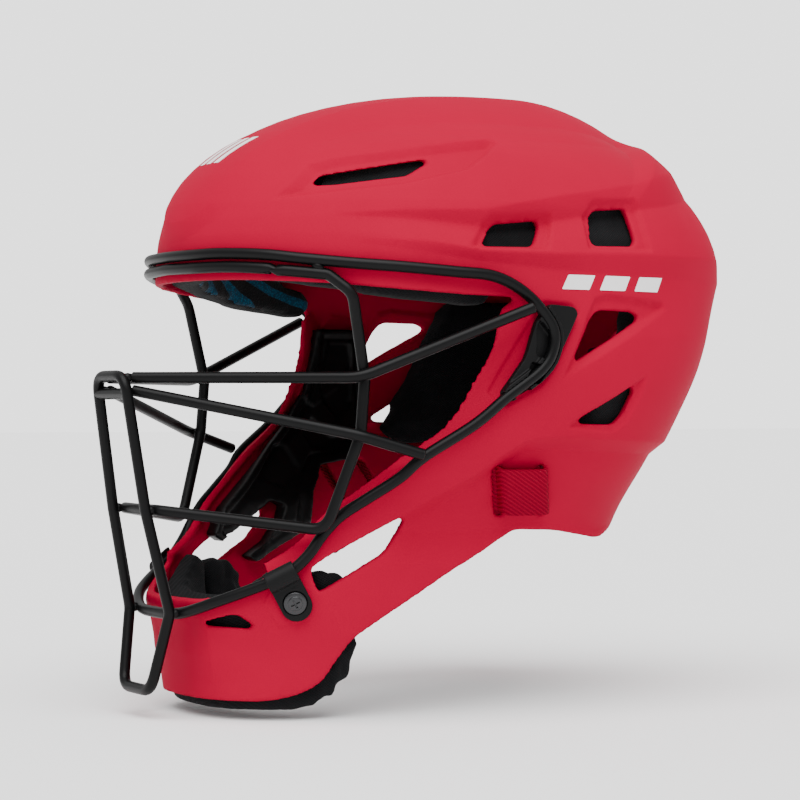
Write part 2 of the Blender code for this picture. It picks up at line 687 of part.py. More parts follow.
def make_gusset(side_name, side, route):
    """The plate that traps the wire's rear corner: a layer on the shell with the wire's groove."""
    steps = (10, 15) if side > 0 else (-15, -10)
    plate = slab(f"gusset_{side_name}", BLACK_PLASTIC, steps, (ring_at(-2), ring_at(48)), -GAP, -GUSSET_THICK)
    keep(plate, prism(f"keep_gusset_{side_name}", GUSSET, "X", -SHELL_WIDTH, SHELL_WIDTH))
    near = [point for point in route if point.x * side > 80 * STRETCH.x and -60 < point.y < 30]
    near.sort(key=lambda point: (point.z < 30 * STRETCH.z, point.y if point.z > 30 * STRETCH.z else -point.y))
    groove = wire(f"cut_groove_{side_name}", near, radius=WIRE / 2 + GAP, hidden=True)
    cut(plate, groove)
    return plate


CLIP_SPOT = (-117.5, -75.5)
CLIP_FOOT = (-113.5, -95.0)
CLIP_SCREW_DROP = 13.5


def make_chin_clip(shell, side_name, side, route):
    """The clip that hooks over the wire and is screwed to the chin through its tongue, and its T-nut."""
    spot, normal = frame_at(*CLIP_SPOT, side)
    foot, foot_normal = frame_at(*CLIP_FOOT, side)
    k = min(range(len(route)), key=lambda i: (route[i] - spot - normal * WIRE_STAND_OFF).length)
    centre = route[k] + (normal + foot_normal).normalized() * GAP
    along = (route[(k + 1) % len(route)] - route[k - 1]).normalized()
    if along.y > 0:
        along = -along
    down = foot + foot_normal * (WIRE_STAND_OFF + GAP) - centre
    down = (down - along * down.dot(along)).normalized()
    out = down.cross(along)
    if out.dot(normal) < 0:
        out = -out
    inner = WIRE / 2 + 2 * GAP
    outer = inner + CLIP_THICK
    low = GAP - WIRE_STAND_OFF
    profile = [(math.cos(a) * outer, math.sin(a) * outer) for a in (math.pi * (1 - k / 8) for k in range(9))]
    profile += [(outer, low + CLIP_THICK), (CLIP_TONGUE, low + CLIP_THICK), (CLIP_TONGUE, low), (inner, low)]
    profile += [(math.cos(a) * inner, math.sin(a) * inner) for a in (math.pi * k / 8 for k in range(9))]
    bm = bmesh.new()
    start = [bm.verts.new(centre + down * a + out * b - along * CLIP_WIDTH / 2) for a, b in profile]
    face = bm.faces.new(start)
    made = bmesh.ops.extrude_face_region(bm, geom=[face], use_keep_orig=True)["geom"]
    moved = [item for item in made if isinstance(item, bmesh.types.BMVert)]
    bmesh.ops.translate(bm, verts=moved, vec=along * CLIP_WIDTH)
    ends = [
        edge
        for edge in bm.edges
        if all(abs((vert.co - centre).dot(down) - CLIP_TONGUE) < 0.01 for vert in edge.verts)
        and abs((edge.verts[0].co - edge.verts[1].co).dot(out)) > CLIP_THICK * 0.9
    ]
    bmesh.ops.bevel(bm, geom=ends, affect="EDGES", offset=CLIP_WIDTH * 0.45, segments=4, profile=0.5)
    clip = place(f"chin_clip_{side_name}", bm, BLACK_PLASTIC)
    seat = centre + down * CLIP_SCREW_DROP + out * (low + CLIP_THICK)
    hole, rim = SCREW_SHANK / 2 + GAP, NUT_FLANGE / 2
    drill = ((0, 20), (hole, 20), (hole, -20), (0, -20))
    bore = turned(f"cut_clip_bore_{side_name}", None, seat, out, drill, hidden=True)
    cut(clip, bore)
    cut(shell, bore)
    nut_face = CLIP_THICK + WALL + 4 * GAP
    reach = nut_face + NUT_THICK
    screw = stud(SCREW_SHANK, reach, SCREW_HEAD, SCREW_HEAD_HEIGHT)
    turned(f"clip_screw_{side_name}", STEEL, seat + out * GAP, out, screw)
    ring = ((hole, -nut_face), (rim, -nut_face), (rim, -reach), (hole, -reach), (hole, -nut_face))
    turned(f"clip_nut_{side_name}", STEEL, seat, out, ring)
    room = ((0, 0), (rim + POCKET_ROOM, 0), (rim + POCKET_ROOM, -reach - 2), (0, -reach - 2))
    pocket = turned(f"cut_nut_pocket_{side_name}", None, seat, out, room, hidden=True)
    cut(bpy.data.objects["chin_pad"], pocket)
    cut(bpy.data.objects["throat_pad"], pocket)


# ---------------------------------------------------------------- straps


def strap_stations(side):
    """The side strap's box section: out over the shell between its slots, inside it fore and aft."""
    inside = WALL + GAP + STRAP_THICK / 2
    outside = -(GAP + STRAP_THICK / 2)
    first, second = STRAP_SLOTS
    middle = (inside + outside) / 2
    path = [(first - tail, inside) for tail in STRAP_TAIL]
    path += [(first - STRAP_TURN, inside), (first, middle), (first + STRAP_TURN, outside)]
    path += [((first + second) / 2, outside - STRAP_BOW), (second - STRAP_TURN, outside)]
    path += [(second, middle), (second + STRAP_TURN, inside)]
    path += [(y, inside) for y in (*STRAP_RUN, STRAP_END)]
    stations = []
    for k, (y, depth) in enumerate(path):
        (y0, d0), (y1, d1) = path[max(k - 1, 0)], path[min(k + 1, len(path) - 1)]
        run = math.hypot(y1 - y0, d1 - d0)
        lift_y, lift_d = (d1 - d0) / run, -(y1 - y0) / run
        corners = []
        for across, layer in ((-1, -1), (-1, 1), (1, 1), (1, -1)):
            height = STRAP_HEIGHT + across * STRAP_WIDTH / 2 / STRETCH.z
            lean = -across * STRAP_WIDTH / 2 * STRAP_LEAN * max(0.0, min(1.0, (60 - y) / 40))
            upright = angle_at(y + lean + lift_y * layer * STRAP_THICK / 2, height)
            round_nape = max(0.0, min(1.0, (y - 46) / 30))
            angle = upright * (1 - round_nape) + angle_at(y, STRAP_HEIGHT) * round_nape
            corner = at_depth(angle, height, depth + lift_d * layer * STRAP_THICK / 2)
            corners.append(Vector((side * corner.x, corner.y, corner.z)))
        stations.append(corners)
    return stations


def strap_pocket(side):
    """Room for the strap's front tail and its rivet behind the jaw pad."""
    stations = []
    for y in (STRAP_SLOTS[0] - 29, STRAP_SLOTS[0] - 16, STRAP_SLOTS[0]):
        corners = []
        for across, depth in ((-1, 0), (-1, 1), (1, 1), (1, 0)):
            height = STRAP_HEIGHT + across * (STRAP_WIDTH / 2 + STRAP_ROOM) / STRETCH.z
            lean = -across * STRAP_WIDTH / 2 * STRAP_LEAN
            under = WALL + depth * (3 * GAP + STRAP_THICK + RIVET_HEIGHT + 1)
            corner = at_depth(angle_at(y + lean, height), height, under)
            corners.append(Vector((side * corner.x, corner.y, corner.z)))
        stations.append(corners)
    return stations


def rivet_profile(head):
    """Profile of a domed rivet head of a diameter, its flat side on distance 0."""
    dome = ((0, RIVET_HEIGHT), (head * 0.3, RIVET_HEIGHT), (head / 2, RIVET_HEIGHT * 0.4))
    return (*dome, (head / 2, 0), (0, 0))


def rivet(name, y, height, side, depth):
    """A domed rivet on the inside of a strap."""
    angle = angle_at(y, height)
    spot, normal = at_depth(angle, height, depth), outward(angle, height)
    spot, normal = Vector((side * spot.x, spot.y, spot.z)), Vector((side * normal.x, normal.y, normal.z))
    return turned(name, STEEL, spot, -normal, rivet_profile(RIVET_HEAD), sides=12)


def make_straps():
    """The elastic side straps and the top strap that hold the back plate, and their rivets."""
    under = WALL + 3 * GAP + STRAP_THICK
    for side_name, side in SIDES:
        swept(f"side_strap_{side_name}", WEBBING, strap_stations(side))
        rivet(f"strap_rivet_front_{side_name}", STRAP_SLOTS[0] - 19, STRAP_HEIGHT, side, under)
        rivet(f"strap_rivet_rear_{side_name}", STRAP_END - 1.6, STRAP_HEIGHT, side, under)
    stations = []
    for height in (35, 39, 43, 47, 51, 55, 59):
        corners = []
        for across, layer in ((-1, 0), (-1, 1), (1, 1), (1, 0)):
            angle = math.pi + across * 0.085
            corners.append(at_depth(angle, height, WALL + GAP + layer * STRAP_THICK))
        stations.append(corners)
    swept("top_strap", WEBBING, stations)
    for name, height in (("shell", 53.5), ("plate", 39.0)):
        spot, normal = at_depth(math.pi, height, under), outward(math.pi, height)
        turned(f"top_strap_rivet_{name}", STEEL, spot, -normal, rivet_profile(TOP_RIVET_HEAD), sides=12)


helmet_shell = make_shell()
make_back_plate()
make_liner()
perimeter = make_perimeter_wire()
make_inner_loop()
make_eye_bars()
make_centre_loop()
for label, sign in SIDES:
    make_gusset(label, sign, perimeter)
    make_chin_clip(helmet_shell, label, sign, perimeter)
make_straps()
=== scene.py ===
"""Looks of a catcher's helmet: moulded shell, wire cage, padded liner, straps and fittings.

The wearer's left is +X and the face looks towards -Y. Lengths in this file are in millimetres, with
heights laid out from the wearer's eye line, and Bench.place turns them into the frame's metres.
"""

import json
import logging
import math
from dataclasses import dataclass, field
from enum import Enum
from typing import Callable, Iterable, Sequence

import bmesh
import bpy
import numpy as np
from bmesh.types import BMesh, BMFace, BMVert
from mathutils import Matrix, Vector
from mathutils.bvhtree import BVHTree

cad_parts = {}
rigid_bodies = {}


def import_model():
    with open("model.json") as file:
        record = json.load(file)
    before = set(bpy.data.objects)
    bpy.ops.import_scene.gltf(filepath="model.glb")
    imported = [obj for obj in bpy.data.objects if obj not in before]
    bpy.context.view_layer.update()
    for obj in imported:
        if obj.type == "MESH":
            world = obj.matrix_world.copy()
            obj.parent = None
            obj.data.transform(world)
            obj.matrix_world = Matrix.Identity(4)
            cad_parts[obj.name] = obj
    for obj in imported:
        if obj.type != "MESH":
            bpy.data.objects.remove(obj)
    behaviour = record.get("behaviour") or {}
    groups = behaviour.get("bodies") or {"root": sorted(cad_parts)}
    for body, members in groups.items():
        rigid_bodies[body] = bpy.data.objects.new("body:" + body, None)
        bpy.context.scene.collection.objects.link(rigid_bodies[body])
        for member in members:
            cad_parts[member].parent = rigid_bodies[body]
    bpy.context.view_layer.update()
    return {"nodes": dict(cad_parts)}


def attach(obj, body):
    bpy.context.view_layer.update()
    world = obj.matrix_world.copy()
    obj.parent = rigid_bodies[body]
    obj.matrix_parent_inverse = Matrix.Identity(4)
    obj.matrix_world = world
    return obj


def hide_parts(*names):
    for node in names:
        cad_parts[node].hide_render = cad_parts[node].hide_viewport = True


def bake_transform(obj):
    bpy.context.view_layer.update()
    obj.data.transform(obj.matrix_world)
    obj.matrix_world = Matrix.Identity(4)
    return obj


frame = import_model()
for leftover in [o for o in bpy.data.objects if o.name in ("Cube", "Light", "Camera")]:
    bpy.data.objects.remove(leftover)

log = logging.getLogger("helmet")

MM = 0.001
GAP = 0.35
CROWN_SEAT = 122.0
ACROSS = (-209.0, 209.0)
BEHIND = (20.0, 281.0)

Outline = Sequence[tuple[float, float]]
Points = Sequence[tuple[float, float, float]]
Route = list[Vector]
Piece = bpy.types.Object
Socket = bpy.types.NodeSocket


class Body(Enum):
    """The bodies that pieces ride on."""

    SHELL = "shell"
    PLATE = "back_plate"


class Side(Enum):
    """The wearer's sides, with the sign of X."""

    LEFT = 1
    RIGHT = -1

    @property
    def label(self) -> str:
        """Returns the side's word in piece names."""
        return self.name.lower()


class Mode(Enum):
    """What a Boolean does."""

    CUT = "DIFFERENCE"
    JOIN = "UNION"
    KEEP = "INTERSECT"


# ---- form


@dataclass(frozen=True)
class Section:
    """One plan section of the shell's outer surface."""

    height: float
    front: float
    rear: float
    half_width: float
    front_power: float
    rear_power: float
    centre: float


@dataclass(frozen=True)
class Form:
    """The shell's outer surface, as plan sections under a dome."""

    sections: tuple[Section, ...] = (
        Section(-138, -140, 65, 64.0, 2.70, 2.20, -20),
        Section(-110, -141, 69, 67.5, 2.80, 2.20, -15),
        Section(-88, -146, 75, 71.5, 2.90, 2.20, -10),
        Section(-70, -147, 81, 74.5, 2.90, 2.20, -5),
        Section(-50, -148, 89, 78.5, 2.60, 2.20, 0),
        Section(-27, -149, 99, 91.5, 2.35, 2.30, 5),
        Section(-8, -148.5, 109, 99.5, 2.20, 2.30, 8),
        Section(20, -147, 124, 104.5, 2.15, 2.30, 10),
        Section(60, -143, 138, 104.5, 2.15, 2.30, 10),
    )
    dome_base: float = 60.0
    dome_height: float = 90.0
    dome_drift: float = 12.0

    def value(self, height: float, name: str) -> float:
        """Reads one field of the sections at a height, on a smooth curve through them.

        Args:
            height: the height to read at.
            name: the field's name.

        Returns:
            The field's value there.
        """
        rows = self.sections
        height = min(max(height, rows[0].height), rows[-1].height)
        k = max(i for i in range(len(rows) - 1) if rows[i].height <= height)
        low, high = rows[k], rows[k + 1]
        before, after = rows[max(k - 1, 0)], rows[min(k + 2, len(rows) - 1)]
        span = high.height - low.height
        t = (height - low.height) / span
        a, b = getattr(low, name), getattr(high, name)
        start = (b - getattr(before, name)) / (high.height - before.height) * span
        end = (getattr(after, name) - a) / (after.height - low.height) * span
        cubic = (2 * t**3 - 3 * t**2 + 1) * a + (t**3 - 2 * t**2 + t) * start
        return cubic + (3 * t**2 - 2 * t**3) * b + (t**3 - t**2) * end

    def section(self, height: float) -> tuple[float, float, float, float, float, float]:
        """Reads the plan section at a height, drawn in towards the crown over the dome's base.

        Args:
            height: the height of the section.

        Returns:
            Its centre, front reach, rear reach, half width and two powers.
        """
        names = ("front", "rear", "half_width", "front_power", "rear_power", "centre")
        front, rear, width, front_power, rear_power, centre = (self.value(height, n) for n in names)
        if height <= self.dome_base:
            return centre, centre - front, rear - centre, width, front_power, rear_power
        s = min((height - self.dome_base) / self.dome_height, 1.0)
        return (
            centre + self.dome_drift * s**2,
            (centre - front) * (1 - s**2.6) ** (1 / 2.4),
            (rear - centre) * (1 - s**1.9) ** (1 / 1.75),
            width * (1 - s**2.25) ** (1 / 2.05),
            front_power,
            rear_power,
        )

    def point(self, angle: float, height: float) -> Vector:
        """Finds a point of the surface.

        Args:
            angle: the angle round the head: 0 is the middle of the face, pi the nape, + the left.
            height: the height.

        Returns:
            The point.
        """
        centre, front, rear, width, front_power, rear_power = self.section(height)
        sine, cosine = math.sin(angle), math.cos(angle)
        power, reach = (front_power, front) if cosine > 0 else (rear_power, rear)
        x = math.copysign(abs(sine) ** (2 / power), sine) * width
        y = centre - math.copysign(abs(cosine) ** (2 / power), cosine) * reach
        return Vector((x, y, height))

    def normal(self, angle: float, height: float) -> Vector:
        """Finds the surface's outward normal.

        Args:
            angle: the angle round the head.
            height: the height.

        Returns:
            The unit normal, upright at the crown.
        """
        if height > self.dome_base + 0.995 * self.dome_height:
            return Vector((0, 0, 1))
        across = self.point(angle + 0.01, height) - self.point(angle - 0.01, height)
        up = self.point(angle, height + 0.2) - self.point(angle, height - 0.2)
        return across.cross(up).normalized()

    def under(self, angle: float, height: float, depth: float) -> Vector:
        """Returns the point under the surface by depth, or over it where depth is negative."""
        return self.point(angle, height) - self.normal(angle, height) * depth

    def angle_at(self, y: float, height: float) -> float:
        """Finds the angle of the left side's point at a y and a height.

        Args:
            y: the y.
            height: the height.

        Returns:
            The angle round the head.
        """
        centre, front, rear, _, front_power, rear_power = self.section(height)
        reach, power = (front, front_power) if y < centre else (rear, rear_power)
        share = min(abs(centre - y) / reach, 1.0) ** (power / 2)
        return math.acos(math.copysign(share, centre - y))

    def stood_off(self, point: Vector, distance: float) -> Vector:
        """Moves a point along the surface normal until it stands off the surface.

        Args:
            point: a point near the surface.
            distance: how far it stands off.

        Returns:
            The moved point.
        """
        angle = math.copysign(self.angle_at(point.y, point.z), point.x)
        if abs(point.x) < 60 and point.y < 0:
            angle = self.front_angle(point.x, point.z)
        return self.under(angle, point.z, -distance)

    def front_angle(self, x: float, height: float) -> float:
        """Finds the angle of the front's point at an x and a height.

        Args:
            x: the x.
            height: the height.

        Returns:
            The angle round the head, with the sign of x.
        """
        low, high = 0.0, math.pi / 2
        for _ in range(40):
            middle = (low + high) / 2
            inside = self.point(middle, height).x < abs(x)
            low, high = (middle, high) if inside else (low, middle)
        return math.copysign(low, x)


FORM = Form()


@dataclass(frozen=True)
class Facet:
    """A sunk or raised patch of the shell, drawn in side view."""

    outline: Outline
    height: float
    slope: float


@dataclass(frozen=True)
class Relief:
    """The moulded relief of the shell: centre ridge, belt, creases and sunk frames round the vents."""

    pivot: tuple[float, float] = (10.0, 60.0)
    ridge_turn: tuple[float, ...] = (5, 7.6, 13.4, 17.4, 24.3, 32.5, 44.3, 60.3, 100, 134)
    ridge_inner: tuple[float, ...] = (14, 19, 23, 25, 24.5, 25, 27, 27, 26, 22)
    base_turn: tuple[float, ...] = (4, 6.9, 10.8, 14.8, 19.7, 28.6, 36.3, 47.5, 66.3, 97.4, 120, 134)
    base_outer: tuple[float, ...] = (19, 25, 33, 37, 42, 44, 47, 52, 56, 58, 54, 44)
    ridge_rise: Outline = (
        (5.5, 0), (9, 1.8), (15, 2.6), (32, 4), (60, 5.2), (97, 6.4), (133, 6.6), (139, 0),
    )
    crest_y: tuple[float, ...] = (-101, -72, -35, 5, 42, 75, 112)
    crest_z: tuple[float, ...] = (85, 87, 88, 96, 103, 109, 117)
    wedge: Outline = (
        (-100, 0.5), (-45, 5), (-12, 8), (20, 9), (45, 10.5), (90, 13), (115, 14),
    )
    belt_depth: Outline = (
        (-100, 0), (-45, 4.2), (-12, 5.8), (20, 5.6), (50, 5), (90, 4), (112, 2.6), (128, 0),
    )
    ledge: Outline = (
        (-102, 75), (-61, 73), (-37, 69.5), (1, 69), (60, 70), (110, 71),
    )
    line: Outline = (
        (-101, 73.5), (-39, 65.5), (1, 62.5), (46, 60.5), (92, 59.5), (120, 59),
    )
    ledge_depth: Outline = (
        (-95, 0), (-50, 1.8), (0, 3.0), (50, 3.0), (90, 2.4), (115, 1.2), (130, 0),
    )
    waist: Outline = (
        (-98, -64), (-64, -47), (-37, -31), (-22, -20), (-13, -14.5), (5, -13), (22, -14), (58, -16),
        (110, -17),
    )
    waist_depth: float = 4.2
    waist_slope: float = 6.0
    facets: tuple[Facet, ...] = (
        Facet(((-119, 92), (-110, 101), (-103, 109), (-95, 112), (-33, 124), (-18, 127), (-14, 125),
               (-24, 117), (-39, 107), (-69, 99)), -3.0, 3.0),
        Facet(((-45, 70.5), (-38, 84), (-33, 87), (-1, 90), (0, 87), (-6, 71)), -1.9, 1.8),
        Facet(((15, 71.5), (17, 90), (23, 96.5), (51, 99), (54, 95), (53, 71.5)), -1.9, 1.8),
        Facet(((3, 18), (14, 42), (19, 50), (27, 52), (62, 49), (63.5, 45.5), (0, 12)), -2.1, 2.4),
        Facet(((6, -9.5), (13, -3.5), (50.6, 15), (47, 4), (41, -7), (34, -11.5), (30, -11.5)), -1.9, 2.0),
        Facet(((-13, 44.5), (-9, 48), (6, 47), (9.5, 42.5), (-3, 18), (-9, 9.5), (-27, -0.5),
               (-33.5, 6)), -1.2, 1.2),
        Facet(((-124, -87), (-116.5, -98.5), (-103.5, -92.5), (-108, -80), (-120, -74)), 1.0, 1.4),
    )

    @staticmethod
    def read(table: Iterable[tuple[float, float]], at: np.ndarray) -> np.ndarray:
        """Returns a table of (place, value) read at many places on straight runs."""
        places, values = zip(*table)
        return np.interp(at, places, values)

    @staticmethod
    def inside(outline: Outline, y: np.ndarray, z: np.ndarray) -> np.ndarray:
        """Measures how far points lie inside an outline.

        Args:
            outline: the outline in side view.
            y: the points' y.
            z: the points' height.

        Returns:
            The distance to the outline, positive inside.
        """
        nearest = np.full(y.shape, 1e9)
        turns = np.zeros(y.shape, bool)
        for (ay, az), (by, bz) in zip(outline, [*outline[1:], outline[0]]):
            dy, dz = by - ay, bz - az
            t = np.clip(((y - ay) * dy + (z - az) * dz) / (dy * dy + dz * dz), 0, 1)
            nearest = np.minimum(nearest, np.hypot(y - ay - t * dy, z - az - t * dz))
            crosses = (az > z) != (bz > z)
            turns ^= crosses & (y < ay + (z - az) / (dz if dz else 1e-9) * dy)
        return np.where(turns, nearest, -nearest)

    def ridge(self, x: np.ndarray, y: np.ndarray, z: np.ndarray) -> np.ndarray:
        """Works out the centre ridge, which stands up from the brow to the nape.

        Args:
            x: the points' x.
            y: the points' y.
            z: the points' height.

        Returns:
            How far the ridge stands up at each point.
        """
        turn = np.degrees(np.arctan2(z - self.pivot[1], self.pivot[0] - y))
        inner = np.interp(turn, self.ridge_turn, self.ridge_inner)
        outer = np.interp(turn, self.base_turn, self.base_outer)
        tip = turn - 3.0 * np.minimum(np.abs(x) / 24, 1) ** 2 * np.clip((44 - turn) / 20, 0, 1)
        rise = self.read(self.ridge_rise, tip)
        share = np.clip((np.abs(x) - inner) / (outer - inner), 0, 1)
        top = np.clip((z - 92) / 36, 0, 1)
        return np.where((z > 55), rise * (1 - share - top), 0.0)

    def belt(self, y: np.ndarray, z: np.ndarray) -> np.ndarray:
        """Works out the belt: sunk under the crest, with a ledge under its lower edge.

        Args:
            y: the points' y.
            z: the points' height.

        Returns:
            The belt's height at each point, negative where it is sunk.
        """
        crest = np.interp(y, self.crest_y, self.crest_z)
        foot = crest - self.read(self.wedge, y)
        ledge, line = self.read(self.ledge, y), self.read(self.line, y)
        deep, shallow = self.read(self.belt_depth, y), self.read(self.ledge_depth, y)
        deep, shallow = deep * (y > -100), shallow * (y > -95)
        wall = -deep * np.clip((crest - z) / np.maximum(crest - foot, 0.5), 0, 1)
        face = -deep * np.clip((z - ledge) / np.maximum(foot - ledge, 1.0), 0, 1)
        under = -shallow * np.clip((ledge - z) / np.maximum(ledge - line, 1.0), 0, 1)
        back = -shallow * np.clip((z - line + 28) / 28, 0, 1)
        return np.where(z > foot, wall, np.where(z > ledge, face, np.where(z > line, under, back)))

    def chin(self, x: np.ndarray, y: np.ndarray, z: np.ndarray) -> np.ndarray:
        """Works out the crests between the chin's facets.

        Args:
            x: the points' x.
            y: the points' y.
            z: the points' height.

        Returns:
            How far they stand up at each point.
        """
        front = np.clip((-112 - y) / 12, 0, 1)
        upright = np.clip(1 - np.abs(np.abs(x) - 31 - (z + 90) * 0.08) / 12, 0, 1)
        upright *= np.clip((-84 - z) / 6, 0, 1)
        upright *= np.clip((z + 130) / 16, 0, 1)
        level = np.clip(1 - np.abs(z + 111) / 12, 0, 1) * np.clip((46 - np.abs(x)) / 16, 0, 1)
        seam = (y + 106.5) * 0.862 + (z + 70.4) * 0.507
        along = np.clip((-68 - z) / 8, 0, 1) * np.clip((z + 112) / 10, 0, 1) * (y > -125)
        brace = np.where(seam > 0, np.clip(1 - seam / 5, 0, 1), np.clip(1 + seam / 9, 0, 1)) * along
        return front * (1.5 * upright + 1.1 * level) + 0.9 * brace * (np.abs(x) > 40)

    def height(self, points: np.ndarray) -> np.ndarray:
        """Works out the relief at many points.

        Args:
            points: an array of points near the shell, one in each row.

        Returns:
            How far the moulded surface stands off the form at each point.
        """
        x, y, z = points.T
        total = self.ridge(x, y, z)
        total += np.where(np.abs(x) > 20, self.belt(y, z), 0.0)
        waist = self.read(self.waist, y)
        fade = np.clip((y + 84) / 24, 0, 1) * np.clip((z + 70) / 14, 0, 1)
        total -= self.waist_depth * np.clip((waist - z) / self.waist_slope, 0, 1) * fade
        total += np.where(z < -60, self.chin(x, y, z), 0.0)
        for facet in self.facets:
            total += facet.height * np.clip(self.inside(facet.outline, y, z) / facet.slope, 0, 1)
        return total

    def shift(self, points: np.ndarray) -> np.ndarray:
        """Moves points outwards by the relief.

        Args:
            points: an array of points near the shell, one in each row.

        Returns:
            The moved points.
        """
        away = points.copy()
        away[:, 1] -= np.where(points[:, 2] > 20, 10.0, 10.0 + (points[:, 2] - 20) * 0.2)
        away[:, 2] = np.maximum(points[:, 2] - 30, 0)
        away /= np.maximum(np.linalg.norm(away, axis=1), 1e-6)[:, None]
        return points + away * self.height(points)[:, None]

    def moved(self, point: Vector) -> Vector:
        """Returns one point moved outwards by the relief."""
        return Vector(self.shift(np.array([point[:]]))[0])


RELIEF = Relief()


# ---- workbench


class Bench:
    """Geometry helpers. They take layout millimetres and leave finished meshes in metres."""

    ORIGIN = Vector((0, 0, CROWN_SEAT))

    @staticmethod
    def metres(point: Vector) -> Vector:
        """Returns a layout point in the frame's metres."""
        return (Vector(point) - Bench.ORIGIN) * MM

    @staticmethod
    def link(name: str, data: bpy.types.ID) -> Piece:
        """Makes an object and links it to the scene.

        Args:
            name: the object's name.
            data: its mesh, curve, light or camera.

        Returns:
            The linked object.
        """
        obj = bpy.data.objects.new(name, data)
        bpy.context.collection.objects.link(obj)
        return obj

    @staticmethod
    def freed(name: str, bm: BMesh) -> Piece:
        """Makes the object of a bmesh as it stands.

        Args:
            name: the object's name.
            bm: the bmesh, which is freed.

        Returns:
            The linked object.
        """
        mesh = bpy.data.meshes.new(name)
        bm.to_mesh(mesh)
        bm.free()
        return Bench.link(name, mesh)

    @staticmethod
    def extruded(bm: BMesh, faces: Sequence[BMFace], kind: type) -> list:
        """Extrudes faces, leaving the first ones in place.

        Args:
            bm: the bmesh.
            faces: the faces.
            kind: the bmesh type to pick out.

        Returns:
            The new elements of that type, still lying on the first ones.
        """
        made = bmesh.ops.extrude_face_region(bm, geom=list(faces), use_keep_orig=True)["geom"]
        return [item for item in made if isinstance(item, kind)]

    @staticmethod
    def place(name: str, bm: BMesh) -> Piece:
        """Makes the object of a bmesh built in layout millimetres.

        Args:
            name: the object's name.
            bm: the bmesh, which is freed.

        Returns:
            The linked object.
        """
        bmesh.ops.recalc_face_normals(bm, faces=bm.faces)
        bmesh.ops.translate(bm, verts=bm.verts, vec=-Bench.ORIGIN)
        bmesh.ops.scale(bm, verts=bm.verts, vec=(MM, MM, MM))
        return Bench.freed(name, bm)

    @staticmethod
    def bake(obj: Piece) -> Piece:
        """Applies the object's modifiers to its mesh.

        Args:
            obj: a mesh or curve object.

        Returns:
            The object, or its mesh twin if it was a curve.
        """
        graph = bpy.context.evaluated_depsgraph_get()
        graph.update()
        mesh = bpy.data.meshes.new_from_object(obj.evaluated_get(graph))
        if obj.type != "MESH":
            name = obj.name
            bpy.data.objects.remove(obj)
            return Bench.link(name, mesh)
        obj.modifiers.clear()
        obj.data = mesh
        return obj

    @staticmethod
    def combine(obj: Piece, others: Iterable[Piece], mode: Mode) -> Piece:
        """Applies one Boolean with several closed objects, which are used up.

        Args:
            obj: the object that changes.
            others: the cutters or additions.
            mode: what the Boolean does.

        Returns:
            The changed object.
        """
        pool = bpy.data.collections.new("pool")
        for other in others:
            pool.objects.link(other)
        modifier = obj.modifiers.new("combine", "BOOLEAN")
        modifier.operand_type = "COLLECTION"
        modifier.collection = pool
        modifier.operation = mode.value
        modifier.solver = "EXACT"
        obj = Bench.bake(obj)
        for other in list(pool.objects):
            bpy.data.objects.remove(other)
        bpy.data.collections.remove(pool)
        return obj

    @staticmethod
    def voxels(obj: Piece, size: float, smooth: int, factor: float = 0.5) -> Piece:
        """Remeshes an object evenly and rounds its edges.

        Args:
            obj: the object.
            size: the voxel size in millimetres.
            smooth: how many times it is smoothed.
            factor: the strength of each smoothing.

        Returns:
            The remeshed object.
        """
        remesh = obj.modifiers.new("remesh", "REMESH")
        remesh.mode = "VOXEL"
        remesh.voxel_size = size * MM
        return Bench.soften(obj, smooth, factor)

    @staticmethod
    def soften(obj: Piece, times: int, factor: float = 0.5) -> Piece:
        """Smooths an object.

        Args:
            obj: the object.
            times: how many times it is smoothed.
            factor: the strength of each smoothing.

        Returns:
            The smoothed object.
        """
        modifier = obj.modifiers.new("soften", "SMOOTH")
        modifier.iterations = times
        modifier.factor = factor
        return Bench.bake(obj)

    @staticmethod
    def thinned(obj: Piece, triangles: int) -> Piece:
        """Decimates an object to a triangle budget.

        Args:
            obj: the object.
            triangles: its budget.

        Returns:
            The object, unchanged if it is within the budget.
        """
        count = sum(len(face.vertices) - 2 for face in obj.data.polygons)
        if count <= triangles:
            return obj
        modifier = obj.modifiers.new("thin", "DECIMATE")
        modifier.ratio = triangles / count
        return Bench.bake(obj)

    @staticmethod
    def layout_points(obj: Piece) -> np.ndarray:
        """Reads the mesh's vertices.

        Args:
            obj: the mesh object.

        Returns:
            The points in layout millimetres, one in each row.
        """
        flat = np.empty(len(obj.data.vertices) * 3, np.float32)
        obj.data.vertices.foreach_get("co", flat)
        return flat.reshape(-1, 3).astype(float) / MM + np.array(Bench.ORIGIN)

    @staticmethod
    def normals(obj: Piece) -> np.ndarray:
        """Reads the vertices' normals.

        Args:
            obj: the mesh object.

        Returns:
            The unit normals, one in each row.
        """
        flat = np.empty(len(obj.data.vertices) * 3, np.float32)
        obj.data.vertices.foreach_get("normal", flat)
        return flat.reshape(-1, 3).astype(float)

    @staticmethod
    def move_to(obj: Piece, points: np.ndarray) -> None:
        """Sets the mesh's vertices from layout millimetres.

        Args:
            obj: the mesh object.
            points: its new points in layout millimetres, one in each row.
        """
        flat = ((points - np.array(Bench.ORIGIN)) * MM).astype(np.float32).ravel()
        obj.data.vertices.foreach_set("co", flat)
        obj.data.update()

    @staticmethod
    def shade(obj: Piece, sharp: float = 50.0) -> None:
        """Shades the object smooth, with edges over an angle in degrees kept sharp."""
        obj.data.shade_smooth()
        obj.data.set_sharp_from_angle(angle=math.radians(sharp))

